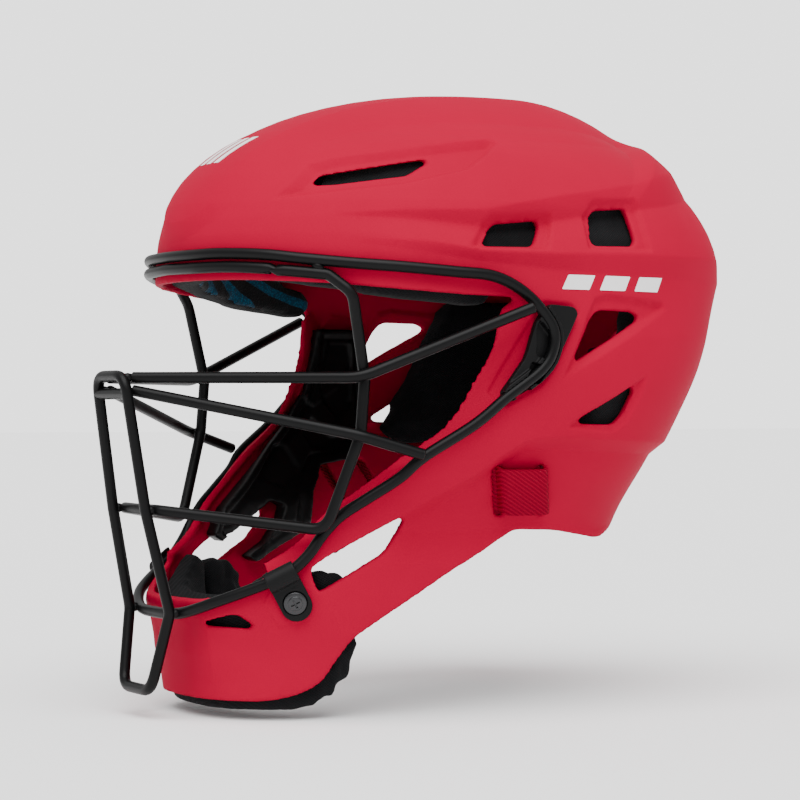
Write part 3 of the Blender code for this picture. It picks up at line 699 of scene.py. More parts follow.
    @staticmethod
    def prism(
        name: str, outline: Outline, axis: str, span: tuple[float, float], corner: float
    ) -> Piece:
        """Makes a prism of an outline in side or rear view.

        Args:
            name: the object's name.
            outline: the outline's corners.
            axis: the axis it runs along, which the view looks along.
            span: where it starts and ends.
            corner: how far each corner is cut back and rounded.

        Returns:
            The prism.
        """
        low, high = span
        spots = {"X": lambda a, b: Vector((low, a, b)), "Y": lambda a, b: Vector((a, low, b))}[axis]
        bm = bmesh.new()
        bm.faces.new([bm.verts.new(spots(a, b)) for a, b in outline])
        Bench.rounded(bm, corner, 5)
        run = {"X": Vector((1, 0, 0)), "Y": Vector((0, 1, 0))}[axis]
        moved = Bench.extruded(bm, bm.faces[:], BMVert)
        bmesh.ops.translate(bm, verts=moved, vec=run * (high - low))
        return Bench.place(name, bm)

    @staticmethod
    def rounded(bm: BMesh, corner: float, segments: int) -> None:
        """Rounds every corner of a flat outline.

        Args:
            bm: the bmesh that holds it.
            corner: how far each corner is cut back.
            segments: how many steps a corner takes.
        """
        bmesh.ops.bevel(
            bm, geom=bm.verts[:], affect="VERTICES", offset=corner, segments=segments, profile=0.5,
            material=-1, clamp_overlap=True,
        )

    @staticmethod
    def layer(
        name: str,
        angles: tuple[float, float],
        heights: Sequence[float],
        across: int,
        depths: tuple[float, float],
    ) -> Piece:
        """Makes a closed layer of the form between two depths.

        Args:
            name: the object's name.
            angles: the first and last angle.
            heights: the rings, from the lowest up.
            across: how many steps there are between the angles.
            depths: the outer and inner depth under the surface.

        Returns:
            The layer.
        """
        bm = bmesh.new()
        up = len(heights) - 1
        bmesh.ops.create_grid(bm, x_segments=across, y_segments=up, size=1)
        angle_of, height_of = bm.verts.layers.float.new("angle"), bm.verts.layers.float.new("height")
        for vert in bm.verts:
            vert[angle_of] = angles[0] + (angles[1] - angles[0]) * (vert.co.x + 1) / 2
            vert[height_of] = heights[round((vert.co.y + 1) / 2 * up)]
            vert.co = FORM.under(vert[angle_of], vert[height_of], depths[0])
        bmesh.ops.remove_doubles(bm, verts=bm.verts, dist=0.01)
        for vert in Bench.extruded(bm, bm.faces[:], BMVert):
            vert.co = FORM.under(vert[angle_of], vert[height_of], depths[1])
        return Bench.place(name, bm)

    @staticmethod
    def swept(name: str, stations: Sequence[Sequence[Vector]]) -> Piece:
        """Makes a closed bar whose section is drawn at each station, extruded from one to the next.

        Args:
            name: the object's name.
            stations: the corners of the section at each station, in the same order.

        Returns:
            The bar.
        """
        bm = bmesh.new()
        face = bm.faces.new([bm.verts.new(corner) for corner in stations[0]])
        order = bm.verts.layers.int.new("order")
        for k, vert in enumerate(face.verts):
            vert[order] = k
        for number, corners in enumerate(stations[1:]):
            before = face
            face = Bench.extruded(bm, [before], BMFace)[0]
            if number:
                bmesh.ops.delete(bm, geom=[before], context="FACES_ONLY")
            for vert in face.verts:
                vert.co = corners[vert[order]]
        return Bench.place(name, bm)

    @staticmethod
    def turned(
        name: str, origin: Vector, axis: Vector, profile: Outline, sides: int = 40
    ) -> Piece:
        """Makes a round piece: a profile of (radius, distance along the axis) spun about the axis.

        Args:
            name: the object's name.
            origin: where distance 0 is.
            axis: the direction of the axis.
            profile: the profile's points.
            sides: how many steps the spin takes.

        Returns:
            The round piece.
        """
        bm = bmesh.new()
        verts = [bm.verts.new((radius, 0, along)) for radius, along in profile]
        edges = [bm.edges.new(pair) for pair in zip(verts, verts[1:])]
        bmesh.ops.spin(
            bm, geom=verts + edges, cent=(0, 0, 0), axis=(0, 0, 1), angle=2 * math.pi, steps=sides,
            use_merge=True,
        )
        bmesh.ops.remove_doubles(bm, verts=bm.verts, dist=0.001)
        turn = Vector((0, 0, 1)).rotation_difference(axis).to_matrix().to_4x4()
        bmesh.ops.transform(bm, matrix=Matrix.Translation(origin) @ turn, verts=bm.verts)
        return Bench.place(name, bm)

    @staticmethod
    def tube(name: str, route: Route, radius: float, closed: bool = False) -> Piece:
        """Makes a round bar along a route.

        Args:
            name: the object's name.
            route: the points that it follows.
            radius: its radius.
            closed: whether it runs back to its start.

        Returns:
            The bar as a mesh.
        """
        data = bpy.data.curves.new(name, "CURVE")
        data.dimensions = "3D"
        data.bevel_depth = radius * MM
        data.bevel_resolution = 6
        data.use_fill_caps = not closed
        spline = data.splines.new("POLY")
        spline.points.add(len(route) - 1)
        for spot, point in zip(spline.points, route):
            spot.co = (*Bench.metres(point), 1)
        spline.use_cyclic_u = closed
        return Bench.bake(Bench.link(name, data))

    @staticmethod
    def joined(name: str, parts: Sequence[Piece]) -> Piece:
        """Merges several meshes into one object, without a Boolean.

        Args:
            name: the new object's name.
            parts: the objects, which are used up.

        Returns:
            The merged object.
        """
        bm = bmesh.new()
        for part in parts:
            bm.from_mesh(part.data)
            bpy.data.objects.remove(part)
        return Bench.freed(name, bm)


class Path:
    """Routes through points, in layout millimetres."""

    @staticmethod
    def mirrored(points: Iterable[Vector], side: Side) -> Route:
        """Returns the points on one side of the head."""
        return [Vector((point.x * side.value, point.y, point.z)) for point in points]

    @staticmethod
    def bent(points: Route, radius: float, closed: bool = False, steps: int = 10) -> Route:
        """Runs straight between points, with a bend at each corner.

        Args:
            points: the corners.
            radius: the bend's radius.
            closed: whether it runs back to its start.
            steps: how many steps a bend takes.

        Returns:
            The route.
        """
        route = []
        count = len(points)
        for k, point in enumerate(points):
            if not closed and k in (0, count - 1):
                route.append(point)
                continue
            back, on = points[k - 1] - point, points[(k + 1) % count] - point
            turn = math.pi - back.angle(on)
            reach = min(radius * math.tan(turn / 2), back.length * 0.45, on.length * 0.45)
            if turn < 0.12:
                route.append(point)
                continue
            start, end = point + back.normalized() * reach, point + on.normalized() * reach
            for i in range(steps + 1):
                t = i / steps
                route.append(start * (1 - t) ** 2 + point * 2 * t * (1 - t) + end * t**2)
        return route

    @staticmethod
    def smoothed(points: Route, spacing: float, closed: bool = False) -> Route:
        """Runs on a smooth curve through points.

        Args:
            points: the points that it passes.
            spacing: about how far apart the route's own points are.
            closed: whether it runs back to its start.

        Returns:
            The route.
        """
        count = len(points)
        route = []
        for k in range(count if closed else count - 1):
            steps = max(1, round((points[(k + 1) % count] - points[k]).length / spacing))
            route += [Path.between(points, k, i / steps, closed) for i in range(steps)]
        if not closed:
            route.append(points[-1])
        return route

    @staticmethod
    def between(points: Route, k: int, t: float, closed: bool = False) -> Vector:
        """Finds a point on the smooth curve through points.

        Args:
            points: the points that it passes.
            k: the number of the point before it.
            t: the share of the way to the next one.
            closed: whether the curve runs back to its start.

        Returns:
            The point.
        """
        count = len(points)
        a, b = points[k], points[(k + 1) % count]
        before = points[k - 1] if closed or k else a * 2 - b
        after = points[(k + 2) % count] if closed or k + 2 < count else b * 2 - a
        square = (before * 2 - a * 5 + b * 4 - after) * t**2
        cube = (a * 3 - before - b * 3 + after) * t**3
        return 0.5 * (a * 2 + (b - before) * t + square + cube)

    @staticmethod
    def at(y: float, height: float, side: Side) -> tuple[Vector, Vector]:
        """Returns the form's point and outward normal on one side at a y and a height."""
        angle = FORM.angle_at(y, height) * side.value
        return FORM.point(angle, height), FORM.normal(angle, height)


# ---- finishes


class Group:
    """A shader node group under construction, with Object coordinates at hand."""

    def __init__(self, name: str, inputs: dict[str, str], outputs: dict[str, str]) -> None:
        """Opens the group.

        Args:
            name: the group's name.
            inputs: socket types by name.
            outputs: socket types by name.
        """
        self.tree = bpy.data.node_groups.new(name, "ShaderNodeTree")
        for way, sockets in (("INPUT", inputs), ("OUTPUT", outputs)):
            for label, kind in sockets.items():
                self.tree.interface.new_socket(label, in_out=way, socket_type=kind)
        self.given = self.tree.nodes.new("NodeGroupInput")
        self.result = self.tree.nodes.new("NodeGroupOutput")
        self.coords = self.tree.nodes.new("ShaderNodeTexCoord").outputs["Object"]

    def node(
        self, kind: str, settings: dict[str, object] | None = None, **feeds: object
    ) -> bpy.types.Node:
        """Adds a node and feeds its sockets.

        Args:
            kind: the node's type.
            settings: its plain properties.
            feeds: a link's source or a constant for each socket, by its name with _ for a space, or by
                n and its number.

        Returns:
            The node.
        """
        made = self.tree.nodes.new(kind)
        for key, value in (settings or {}).items():
            setattr(made, key, value)
        for key, value in feeds.items():
            socket = made.inputs[int(key[1:]) if key[1:].isdigit() else key.replace("_", " ")]
            if isinstance(value, Socket):
                self.tree.links.new(value, socket)
            else:
                socket.default_value = value
        return made

    def math(
        self, operation: str, first: object, second: object, third: object = 0.0
    ) -> Socket:
        """Returns the result of a Math node."""
        made = self.node("ShaderNodeMath", {"operation": operation}, n0=first, n1=second, n2=third)
        return made.outputs[0]

    def blended(self, share: object, low: object, high: object) -> Socket:
        """Returns a colour between two by a share."""
        mix = self.node("ShaderNodeMix", {"data_type": "RGBA"}, n0=share, n6=low, n7=high)
        return mix.outputs[2]

    def finish(
        self, share: Socket, height: Socket, uneven: object = 0.0
    ) -> bpy.types.NodeTree:
        """Links the effect's outputs.

        Args:
            share: how far the colour is from the dark one to the light one.
            height: the height of its relief.
            uneven: what is added to the roughness.

        Returns:
            The finished tree.
        """
        given = self.given.outputs
        sources = {
            "Color": self.blended(share, given["Dark"], given["Light"]),
            "Roughness": self.math("ADD", given["Roughness"], uneven),
            "Height": height,
        }
        for key, source in sources.items():
            self.tree.links.new(source, self.result.inputs[key])
        return self.tree


class Effect(Enum):
    """Surface effects, each one shared node group."""

    GRAIN = "fine_grain"
    KNIT = "knit_cloth"
    STRIPED = "striped_mesh"
    WEBBING = "ribbed_webbing"

    @property
    def tree(self) -> bpy.types.NodeTree:
        """Finds the effect's node group, or makes it on first use.

        Returns:
            The shared node group.
        """
        found = bpy.data.node_groups.get(self.value)
        makers = {
            Effect.GRAIN: self.grain,
            Effect.KNIT: self.knit,
            Effect.STRIPED: self.striped,
            Effect.WEBBING: self.webbing,
        }
        return found or makers[self]()

    def opened(self) -> Group:
        """Opens this effect's group with the sockets that every effect has.

        Returns:
            The group, with no nodes of its own yet.
        """
        colour, value = "NodeSocketColor", "NodeSocketFloat"
        inputs = {"Dark": colour, "Light": colour, "Roughness": value, "Pitch": value}
        return Group(self.value, inputs, {"Color": colour, "Roughness": value, "Height": value})

    def grain(self) -> bpy.types.NodeTree:
        """Makes fine moulded grain with faint larger mottling.

        Returns:
            The node group.
        """
        group = self.opened()
        per = group.math("DIVIDE", 1.0, group.given.outputs["Pitch"])
        fine, broad = (
            group.node("ShaderNodeTexNoise", Vector=group.coords, Scale=scale, Detail=detail, Roughness=0.6)
            for scale, detail in ((per, 3.0), (22.0, 4.0))
        )
        uneven = group.math("MULTIPLY_ADD", broad.outputs[0], 0.12, -0.06)
        return group.finish(broad.outputs[0], fine.outputs[0], uneven)

    def ribs(
        self, group: Group, turn: tuple[float, float, float], stretch: float = 1.0
    ) -> Socket:
        """Adds fine ribs at the effect's pitch.

        Args:
            group: the group they go in.
            turn: how far the coordinates are turned, in degrees.
            stretch: how much wider than the pitch the ribs are.

        Returns:
            The ribs' height from 0 to 1.
        """
        angles = tuple(math.radians(angle) for angle in turn)
        turned = group.node("ShaderNodeMapping", Vector=group.coords, Rotation=angles)
        per = group.math("DIVIDE", math.pi / 10 / stretch, group.given.outputs["Pitch"])
        wave = group.node(
            "ShaderNodeTexWave", {"bands_direction": "Z"}, Vector=turned.outputs[0], Scale=per,
            Distortion=0.6, Detail=1.0, Detail_Scale=0.6,
        )
        return wave.outputs["Fac"]

    def knit(self) -> bpy.types.NodeTree:
        """Makes a fine knit: two crossed sets of ribs, with soft mottling.

        Returns:
            The node group.
        """
        group = self.opened()
        up, down = self.ribs(group, (38, 12, 0)), self.ribs(group, (-38, 12, 0))
        height = group.math("MAXIMUM", up, down)
        broad = group.node("ShaderNodeTexNoise", Vector=group.coords, Scale=35.0, Detail=3.0)
        return group.finish(group.math("MULTIPLY", height, broad.outputs[0]), height)

    def striped(self) -> bpy.types.NodeTree:
        """Makes an open mesh with slanted colour stripes in groups.

        Returns:
            The node group.
        """
        group = self.opened()
        cells = group.math("DIVIDE", 1.0, group.given.outputs["Pitch"])
        mesh = group.node("ShaderNodeTexVoronoi", Vector=group.coords, Scale=cells)
        stripe = self.ribs(group, (0, 40, 0), 7.0)
        bright = group.math("GREATER_THAN", stripe, 0.62)
        holes = group.math("LESS_THAN", mesh.outputs["Distance"], 0.42)
        share = group.math("MULTIPLY", bright, group.math("MULTIPLY_ADD", holes, 0.55, 0.45))
        return group.finish(share, mesh.outputs["Distance"])

    def webbing(self) -> bpy.types.NodeTree:
        """Makes elastic webbing: strong slanted ribs crossed by fine threads.

        Returns:
            The node group.
        """
        group = self.opened()
        ribs, threads = self.ribs(group, (27, 0, 0)), self.ribs(group, (-62, 0, 0), 0.7)
        height = group.math("MULTIPLY_ADD", threads, 0.3, ribs)
        return group.finish(group.math("MULTIPLY", height, 0.77), height)


@dataclass(frozen=True)
class Finish:
    """A finish: its record slot, its effect and the effect's colours and sizes."""

    name: str
    slot: str
    dark: tuple[float, float, float]
    light: tuple[float, float, float]
    roughness: float
    effect: Effect = Effect.GRAIN
    pitch: float = 0.4
    relief: float = 0.02
    metallic: float = 0.0
    sheen: float = 0.0
    shine: float = 0.5

    def material(self) -> bpy.types.Material:
        """Finds the finish's material, or makes it on first use.

        Returns:
            The material.
        """
        found = bpy.data.materials.get("look_" + self.name)
        if found:
            return found
        made = bpy.data.materials.new("look_" + self.name)
        made.use_nodes = True
        nodes, links = made.node_tree.nodes, made.node_tree.links
        shader = nodes["Principled BSDF"]
        group = nodes.new("ShaderNodeGroup")
        group.node_tree = self.effect.tree
        bump = nodes.new("ShaderNodeBump")
        values = (
            (group, "Dark", (*self.dark, 1)),
            (group, "Light", (*self.light, 1)),
            (group, "Roughness", self.roughness),
            (group, "Pitch", self.pitch * MM),
            (bump, "Strength", 1.0),
            (bump, "Distance", self.relief * MM),
            (shader, "Metallic", self.metallic),
            (shader, "Sheen Weight", self.sheen),
            (shader, "Specular IOR Level", self.shine),
        )
        for node, key, value in values:
            node.inputs[key].default_value = value
        links.new(group.outputs["Color"], shader.inputs["Base Color"])
        links.new(group.outputs["Roughness"], shader.inputs["Roughness"])
        links.new(group.outputs["Height"], bump.inputs["Height"])
        links.new(bump.outputs["Normal"], shader.inputs["Normal"])
        return made

    def dress(self, obj: Piece, body: Body, *nodes: str) -> Piece:
        """Gives a piece this finish and its place on a body.

        Args:
            obj: the piece.
            body: the body that it rides on.
            nodes: the CAD nodes that it stands for.

        Returns:
            The piece.
        """
        obj.data.materials.clear()
        obj.data.materials.append(self.material())
        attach(obj, body.value)
        if nodes:
            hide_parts(*nodes)
        return obj


RED = Finish(
    "moulded_red", "shell_red", (0.31, 0.0005, 0.022), (0.35, 0.0005, 0.026), 0.55, pitch=0.5,
    relief=0.03, shine=0.015,
)
BLACK_WIRE = Finish(
    "coated_wire", "cage_black", (0.0015, 0.0015, 0.0017), (0.003, 0.003, 0.0032), 0.38, pitch=1.2,
    shine=0.12,
)
BLACK_PLASTIC = Finish(
    "black_plastic", "plastic_black", (0.002, 0.002, 0.0022), (0.004, 0.004, 0.0042), 0.5, shine=0.12
)
BLACK_STEEL = Finish(
    "black_steel", "screw_black", (0.03, 0.03, 0.032), (0.05, 0.05, 0.052), 0.3, metallic=0.85
)
FOAM = Finish(
    "moulded_foam", "liner_foam", (0.0015, 0.0015, 0.0017), (0.003, 0.003, 0.0032), 0.45, pitch=0.5,
    relief=0.05, shine=0.15,
)
KNIT = Finish(
    "charcoal_knit", "liner_knit", (0.002, 0.0021, 0.0023), (0.014, 0.0145, 0.016), 0.9, Effect.KNIT,
    pitch=0.9, relief=0.22, sheen=0.03, shine=0.05,
)
STRIPED = Finish(
    "striped_mesh", "liner_knit", (0.003, 0.0035, 0.004), (0.003, 0.07, 0.13), 0.85, Effect.STRIPED,
    pitch=1.1, relief=0.25, sheen=0.08, shine=0.1,
)
WEBBING = Finish(
    "red_webbing", "strap_red", (0.15, 0.0005, 0.010), (0.25, 0.0008, 0.018), 0.8, Effect.WEBBING,
    pitch=1.4, relief=0.3, shine=0.03,
)
WHITE = Finish("white_print", "shell_red", (0.72, 0.70, 0.70), (0.80, 0.78, 0.78), 0.45)


# ---- shell and back plate


@dataclass(frozen=True)
class Opening:
    """An opening cut through both sides of the shell, drawn in side view."""

    name: str
    outline: Outline
    inner: float = 30.0
    corner: float = 1.6


@dataclass
class Shell:
    """The moulded shell with its flange, openings and relief."""

    wall: float = 4.0
    flange: float = 3.5
    edge_steps: int = 5
    reach: float = 146.0
    voxel: float = 1.0
    triangles: int = 185000
    plate_triangles: int = 30000
    neck_corner: float = 4.0
    plate_corner: float = 5.0
    brow: Outline = ((-220, 57), (-143, 57), (-124, 56), (-102, 54.5), (-75, 52), (-48, 50), (-32, 49.5))
    rim: Outline = (
        (-22, 49), (-13, 36), (-17, 16), (-34, 0), (-50, -12),
        (-65, -22), (-82, -36), (-96, -49), (-107, -64), (-122, -75),
    )
    lip: Points = (
        (97, -27, 44), (94, -30, 28), (89, -38, 11), (85, -48, -6), (81, -58, -15),
        (77, -68, -22), (70, -84, -35), (63, -98, -46), (57, -110, -60), (51, -123, -69),
    )
    chin_top: Outline = ((-130, -80), (-141, -86), (-220, -87))
    neck: Outline = (
        (-220, -132), (-118, -131), (-106, -128), (-97, -123), (-91, -113), (-84, -103), (-71, -94),
        (-39, -74), (-5, -56), (20, -57), (52, -62), (83, -54), (220, -50), (220, -220), (-220, -220),
    )
    plate: Outline = (
        (-24, 44), (24, 44), (35, 35), (40, 12), (39, -20), (35, -46),
        (35, -120), (-35, -120), (-35, -46), (-39, -20), (-40, 12), (-35, 35),
    )
    plate_room: float = 1.2
    openings: tuple[Opening, ...] = (
        Opening("jaw_slot", ((-105, -71), (-104, -75), (-101, -82), (-73, -65), (-71, -62), (-64, -50),
                             (-66, -49), (-98, -66)), corner=2.4),
        Opening("crown_vent", ((-106, 100), (-100, 105), (-54, 115), (-53, 113.5), (-66, 105.5),
                               (-96, 100.5))),
        Opening("side_vent", ((-39, 72.5), (-34, 82), (-31, 84), (-8, 87), (-7, 85), (-12, 74), (-14, 73))),
        Opening("rear_vent", ((19, 77), (23, 91), (26, 93), (46, 95), (47, 93), (46, 77), (44, 75),
                              (21, 74.5))),
        Opening("upper_triangle", ((8, 22), (16, 38), (20, 43), (24, 44.5), (43, 44), (47, 42), (45.5, 39.5),
                                   (9.5, 20.5)), corner=1.3),
        Opening("lower_triangle", ((13, -5.5), (43, 10), (45, 8), (40, -3), (36, -7), (33, -8), (15, -7.5)),
                corner=1.3),
        Opening("chin_vent", ((-142, -97), (-134, -92), (-131, -92), (-123, -98.5)), inner=22.0),
    )
    slots: tuple[float, float] = (-19.5, 4.5)
    slot_width: float = 5.2
    slot_room: float = 0.6
    strap_height: float = -38.0
    strap_width: float = 21.0
    strap_lean: float = 0.42

    def heights(self, low: float, high: float) -> list[float]:
        """Lays closely spaced rings between two heights, drawn together towards the crown.

        Args:
            low: the lowest height.
            high: the highest height.

        Returns:
            The rings' heights, from the lowest up.
        """
        rings = list(np.linspace(-138, FORM.dome_base, 45))
        turns = (math.pi / 2 * k / 20 for k in range(1, 21))
        rings += [FORM.dome_base + FORM.dome_height * math.sin(turn) ** 0.9 for turn in turns]
        return [ring for ring in rings if low - 0.01 <= ring <= high + 0.01]

    def rear_outline(self, grow: float) -> list[tuple[float, float]]:
        """Returns the back plate's outline with its edge moved out by grow."""
        return [(x + math.copysign(grow, x), z + (grow if z > 30 else 0)) for x, z in self.plate]

    def edge(self, side: Side) -> Piece:
        """Makes the inward-turned edge of the face opening on one side.

        Args:
            side: the side it is on.

        Returns:
            The bar that joins the shell.
        """
        rim = [Vector((0, y, z)) for y, z in self.rim]
        lip = [Vector(spot) for spot in self.lip]
        last = len(rim) - 2
        spots = [(k, i / self.edge_steps) for k in range(last + 1) for i in range(self.edge_steps)]
        stations = []
        for k, t in [*spots, (last, 1.0)]:
            root, tip = Path.between(rim, k, t), Path.between(lip, k, t)
            ahead, behind = (Path.between(rim, k, min(max(t + way, 0.0), 1.0)) for way in (0.1, -0.1))
            base = FORM.point(FORM.angle_at(root.y, root.z), root.z) - Vector((1, 0, 0))
            across = (tip - base).normalized()
            away = Vector((1, 0, 0)).cross(ahead - behind)
            away = (away - across * away.dot(across)).normalized()
            corners = (base, tip, tip + away * self.flange, base + away * self.flange)
            stations.append(Path.mirrored(corners, side))
        return Bench.swept(f"edge_{side.label}", stations)

    def slot_cutter(self, side: Side, y: float) -> Piece:
        """Makes the cutter of one leaning strap slot.

        Args:
            side: the side it is on.
            y: the slot's middle.

        Returns:
            The cutter.
        """
        half = self.strap_width / 2 + self.slot_room
        stations = []
        for x in (60, 125):
            corners = []
            for up, on in ((-1, -1), (-1, 1), (1, 1), (1, -1)):
                across = y - up * half * self.strap_lean + on * self.slot_width / 2
                corners.append(Vector((side.value * x, across, self.strap_height + up * half)))
            stations.append(corners)
        return Bench.swept("slot", stations)

    def moulded(self, obj: Piece, triangles: int) -> Piece:
        """Rounds the edges of a cut layer and raises the relief on it.

        Args:
            obj: the layer.
            triangles: its triangle budget.

        Returns:
            The finished moulding.
        """
        obj = Bench.voxels(obj, self.voxel, 5)
        Bench.move_to(obj, RELIEF.shift(Bench.layout_points(obj)))
        obj = Bench.thinned(Bench.soften(obj, 1), triangles)
        Bench.shade(obj, 60)
        return obj

    def build(self) -> Piece:
        """Makes the shell.

        Returns:
            The finished shell.
        """
        around, depths = (-math.pi, math.pi), (0.0, self.wall)
        blank = Bench.layer("shell_skin", around, self.heights(-138, 150), 176, depths)
        across = (-self.reach, self.reach)
        face = Bench.prism("face", (*self.brow, *self.rim, *self.chin_top), "X", across, 3.0)
        blank = Bench.combine(blank, [face], Mode.CUT)
        blank = Bench.combine(blank, [self.edge(side) for side in Side], Mode.JOIN)
        cutters = [
            Bench.prism("neck", self.neck, "X", across, self.neck_corner),
            Bench.prism("rear", self.rear_outline(self.plate_room), "Y", BEHIND, self.plate_corner),
        ]
        for side in Side:
            for opening in self.openings:
                span = tuple(sorted((side.value * opening.inner, side.value * self.reach)))
                cutters.append(Bench.prism(opening.name, opening.outline, "X", span, opening.corner))
            cutters += [self.slot_cutter(side, y) for y in self.slots]
        blank = Bench.combine(blank, cutters, Mode.CUT)
        shell = self.moulded(blank, self.triangles)
        shell.name = "shell_skin"
        return RED.dress(shell, Body.SHELL, "helmet_shell")

    def build_plate(self) -> Piece:
        """Makes the floating back plate.

        Returns:
            The finished plate.
        """
        nape = (math.pi * 3 / 4, math.pi * 5 / 4)
        blank = Bench.layer("plate_skin", nape, self.heights(-64, 60), 60, (0.0, self.wall))
        outline = Bench.prism("outline", self.rear_outline(0), "Y", BEHIND, self.plate_corner)
        blank = Bench.combine(blank, [outline], Mode.KEEP)
        foot = Bench.prism("foot", self.neck, "X", ACROSS, self.neck_corner)
        plate = self.moulded(Bench.combine(blank, [foot], Mode.CUT), self.plate_triangles)
        plate.name = "plate_skin"
        return RED.dress(plate, Body.PLATE, "back_plate")


# ---- cage


@dataclass
class Cage:
    """The wire face cage: four bent wires, four bars' ends and their welds."""

    wire: float = 5.1
    gap: float = GAP
    bend: float = 9.0
    bar_bend: float = 22.0
    head_bar_drop: float = 8.0
    bar_trim: float = 4.5
    perimeter: Points = (
        (20, -144, 68), (37, -136, 68), (55, -124, 67), (69, -111, 65), (80, -94, 63), (90, -75, 61.5),
        (97, -52, 59.5), (101, -36, 58), (103, -24, 53), (104, -14, 45), (105, -6.5, 35), (105, -6.5, 26),
        (104, -12, 17), (101, -28, 5), (96, -42, -7), (86, -63, -21), (81, -72, -30), (74, -84, -39),
        (68, -94, -47), (65, -101, -56), (63, -107, -65), (60, -114, -72), (55, -122, -77),
    )
    chin: Points = ((41, -141, -86), (22, -149.4, -92), (0, -151.5, -93))
    brow: Points = (
        (22, -144, 62.2), (40, -135, 62), (58, -122, 60.6), (76, -101, 57.8),
    )
    drop: Points = (
        (84, -96, 50), (81.5, -88.5, 13), (81.5, -90.5, -12), (74, -104, -54),
    )
    mouth: Points = ((18, -159.5, -46), (0, -161, -46))
    loop: Points = ((15.5, -174, 14), (15, -161, -127))
    welds: list[Piece] = field(default_factory=list)

    @property
    def stand_off(self) -> float:
        """Returns how far a wire's middle stands off the shell."""
        return self.wire / 2 + self.gap

    @property
    def pitch(self) -> float:
        """Returns the distance between two touching wires' middles."""
        return self.wire + self.gap

    @staticmethod
    def laid(points: Iterable[tuple[float, float, float]]) -> Route:
        """Returns the points as vectors."""
        return [Vector(point) for point in points]

    def weld(self, spot: Vector, along: Vector, length: float) -> None:
        """Adds a weld bead where two wires meet.

        Args:
            spot: the middle of the bead.
            along: the direction it runs in.
            length: how long it is.
        """
        bm = bmesh.new()
        bmesh.ops.create_uvsphere(bm, u_segments=20, v_segments=12, radius=self.wire * 0.42)
        turn = Vector((0, 0, 1)).rotation_difference(along).to_matrix().to_4x4()
        size = Matrix.Diagonal((1, 1, length / self.wire, 1))
        bmesh.ops.transform(bm, matrix=Matrix.Translation(spot) @ turn @ size, verts=bm.verts)
        self.welds.append(Bench.place("weld", bm))

    def dressed(self, obj: Piece, node: str) -> Piece:
        """Shades and finishes a wire that stands for a CAD node.

        Args:
            obj: the wire.
            node: the node.

        Returns:
            The wire.
        """
        Bench.shade(obj, 60)
        obj.name = "cage_" + node
        return BLACK_WIRE.dress(obj, Body.SHELL, node)

    def perimeter_route(self) -> Route:
        """Lays the wire round the face opening.

        Returns:
            The closed route.
        """
        left = [FORM.stood_off(point, self.stand_off) for point in self.laid(self.perimeter)]
        left += self.laid(self.chin)
        top = [FORM.stood_off(Vector((0, -145, 68)), self.stand_off)]
        return Path.smoothed(top + left + Path.mirrored(left[-2::-1], Side.RIGHT), 2.5, closed=True)

    def inner_route(self) -> Route:
        """Lays the inner loop.

        Returns:
            The closed route.
        """
        brow = [FORM.stood_off(point, self.stand_off) for point in self.laid(self.brow)]
        middle = FORM.stood_off(Vector((0, -145, 62.5)), self.stand_off + self.gap)
        arc = [FORM.stood_off(point, self.stand_off) for point in Path.smoothed(brow, 3)]
        front = self.laid(self.mouth)
        tail = Path.bent([arc[-2], arc[-1], *self.laid(self.drop), *front], self.bend)[1:-1]
        left = arc[:-1] + tail
        return [middle, *left, front[-1], *Path.mirrored(left[::-1], Side.RIGHT)]

    def bar_routes(self, side: Side) -> tuple[Route, Route]:
        """Lays the eye bars on one side.

        Args:
            side: the side they are on.

        Returns:
            The upper and the lower route, from the centre loop to the shell.
        """
        step = Vector((0.7, -0.7, 0)) * (self.pitch + self.bar_bend * 0.05)
        head_y = self.loop[0][1] + self.pitch
        cross_high, cross_low = (Vector(self.drop[k]) + step for k in (1, 2))
        end_high = FORM.stood_off(Vector((104, -15, 45.5)), self.stand_off + self.pitch)
        end_low = FORM.stood_off(Vector((86, -61, -19.5)), self.stand_off + self.pitch)
        high = [Vector((13, head_y, 13.2)), cross_high, end_high]
        low = [Vector((13, head_y, 12.9 - self.pitch)), cross_low, end_low]
        routes = (Path.bent(points, self.bar_bend, steps=14) for points in (high, low))
        return tuple(Path.mirrored(route, side) for route in routes)

    def loop_corners(self) -> Route:
        """Lays the left corners of the centre loop.

        Returns:
            The head, mouth, waist and foot corners.
        """
        waist = Vector(self.chin[1]) + Vector((0, -self.pitch, 0))
        mouth = Vector(self.mouth[0]) + Vector((0, -self.pitch, 0))
        head, foot = self.laid(self.loop)
        return [head, mouth, waist, foot]

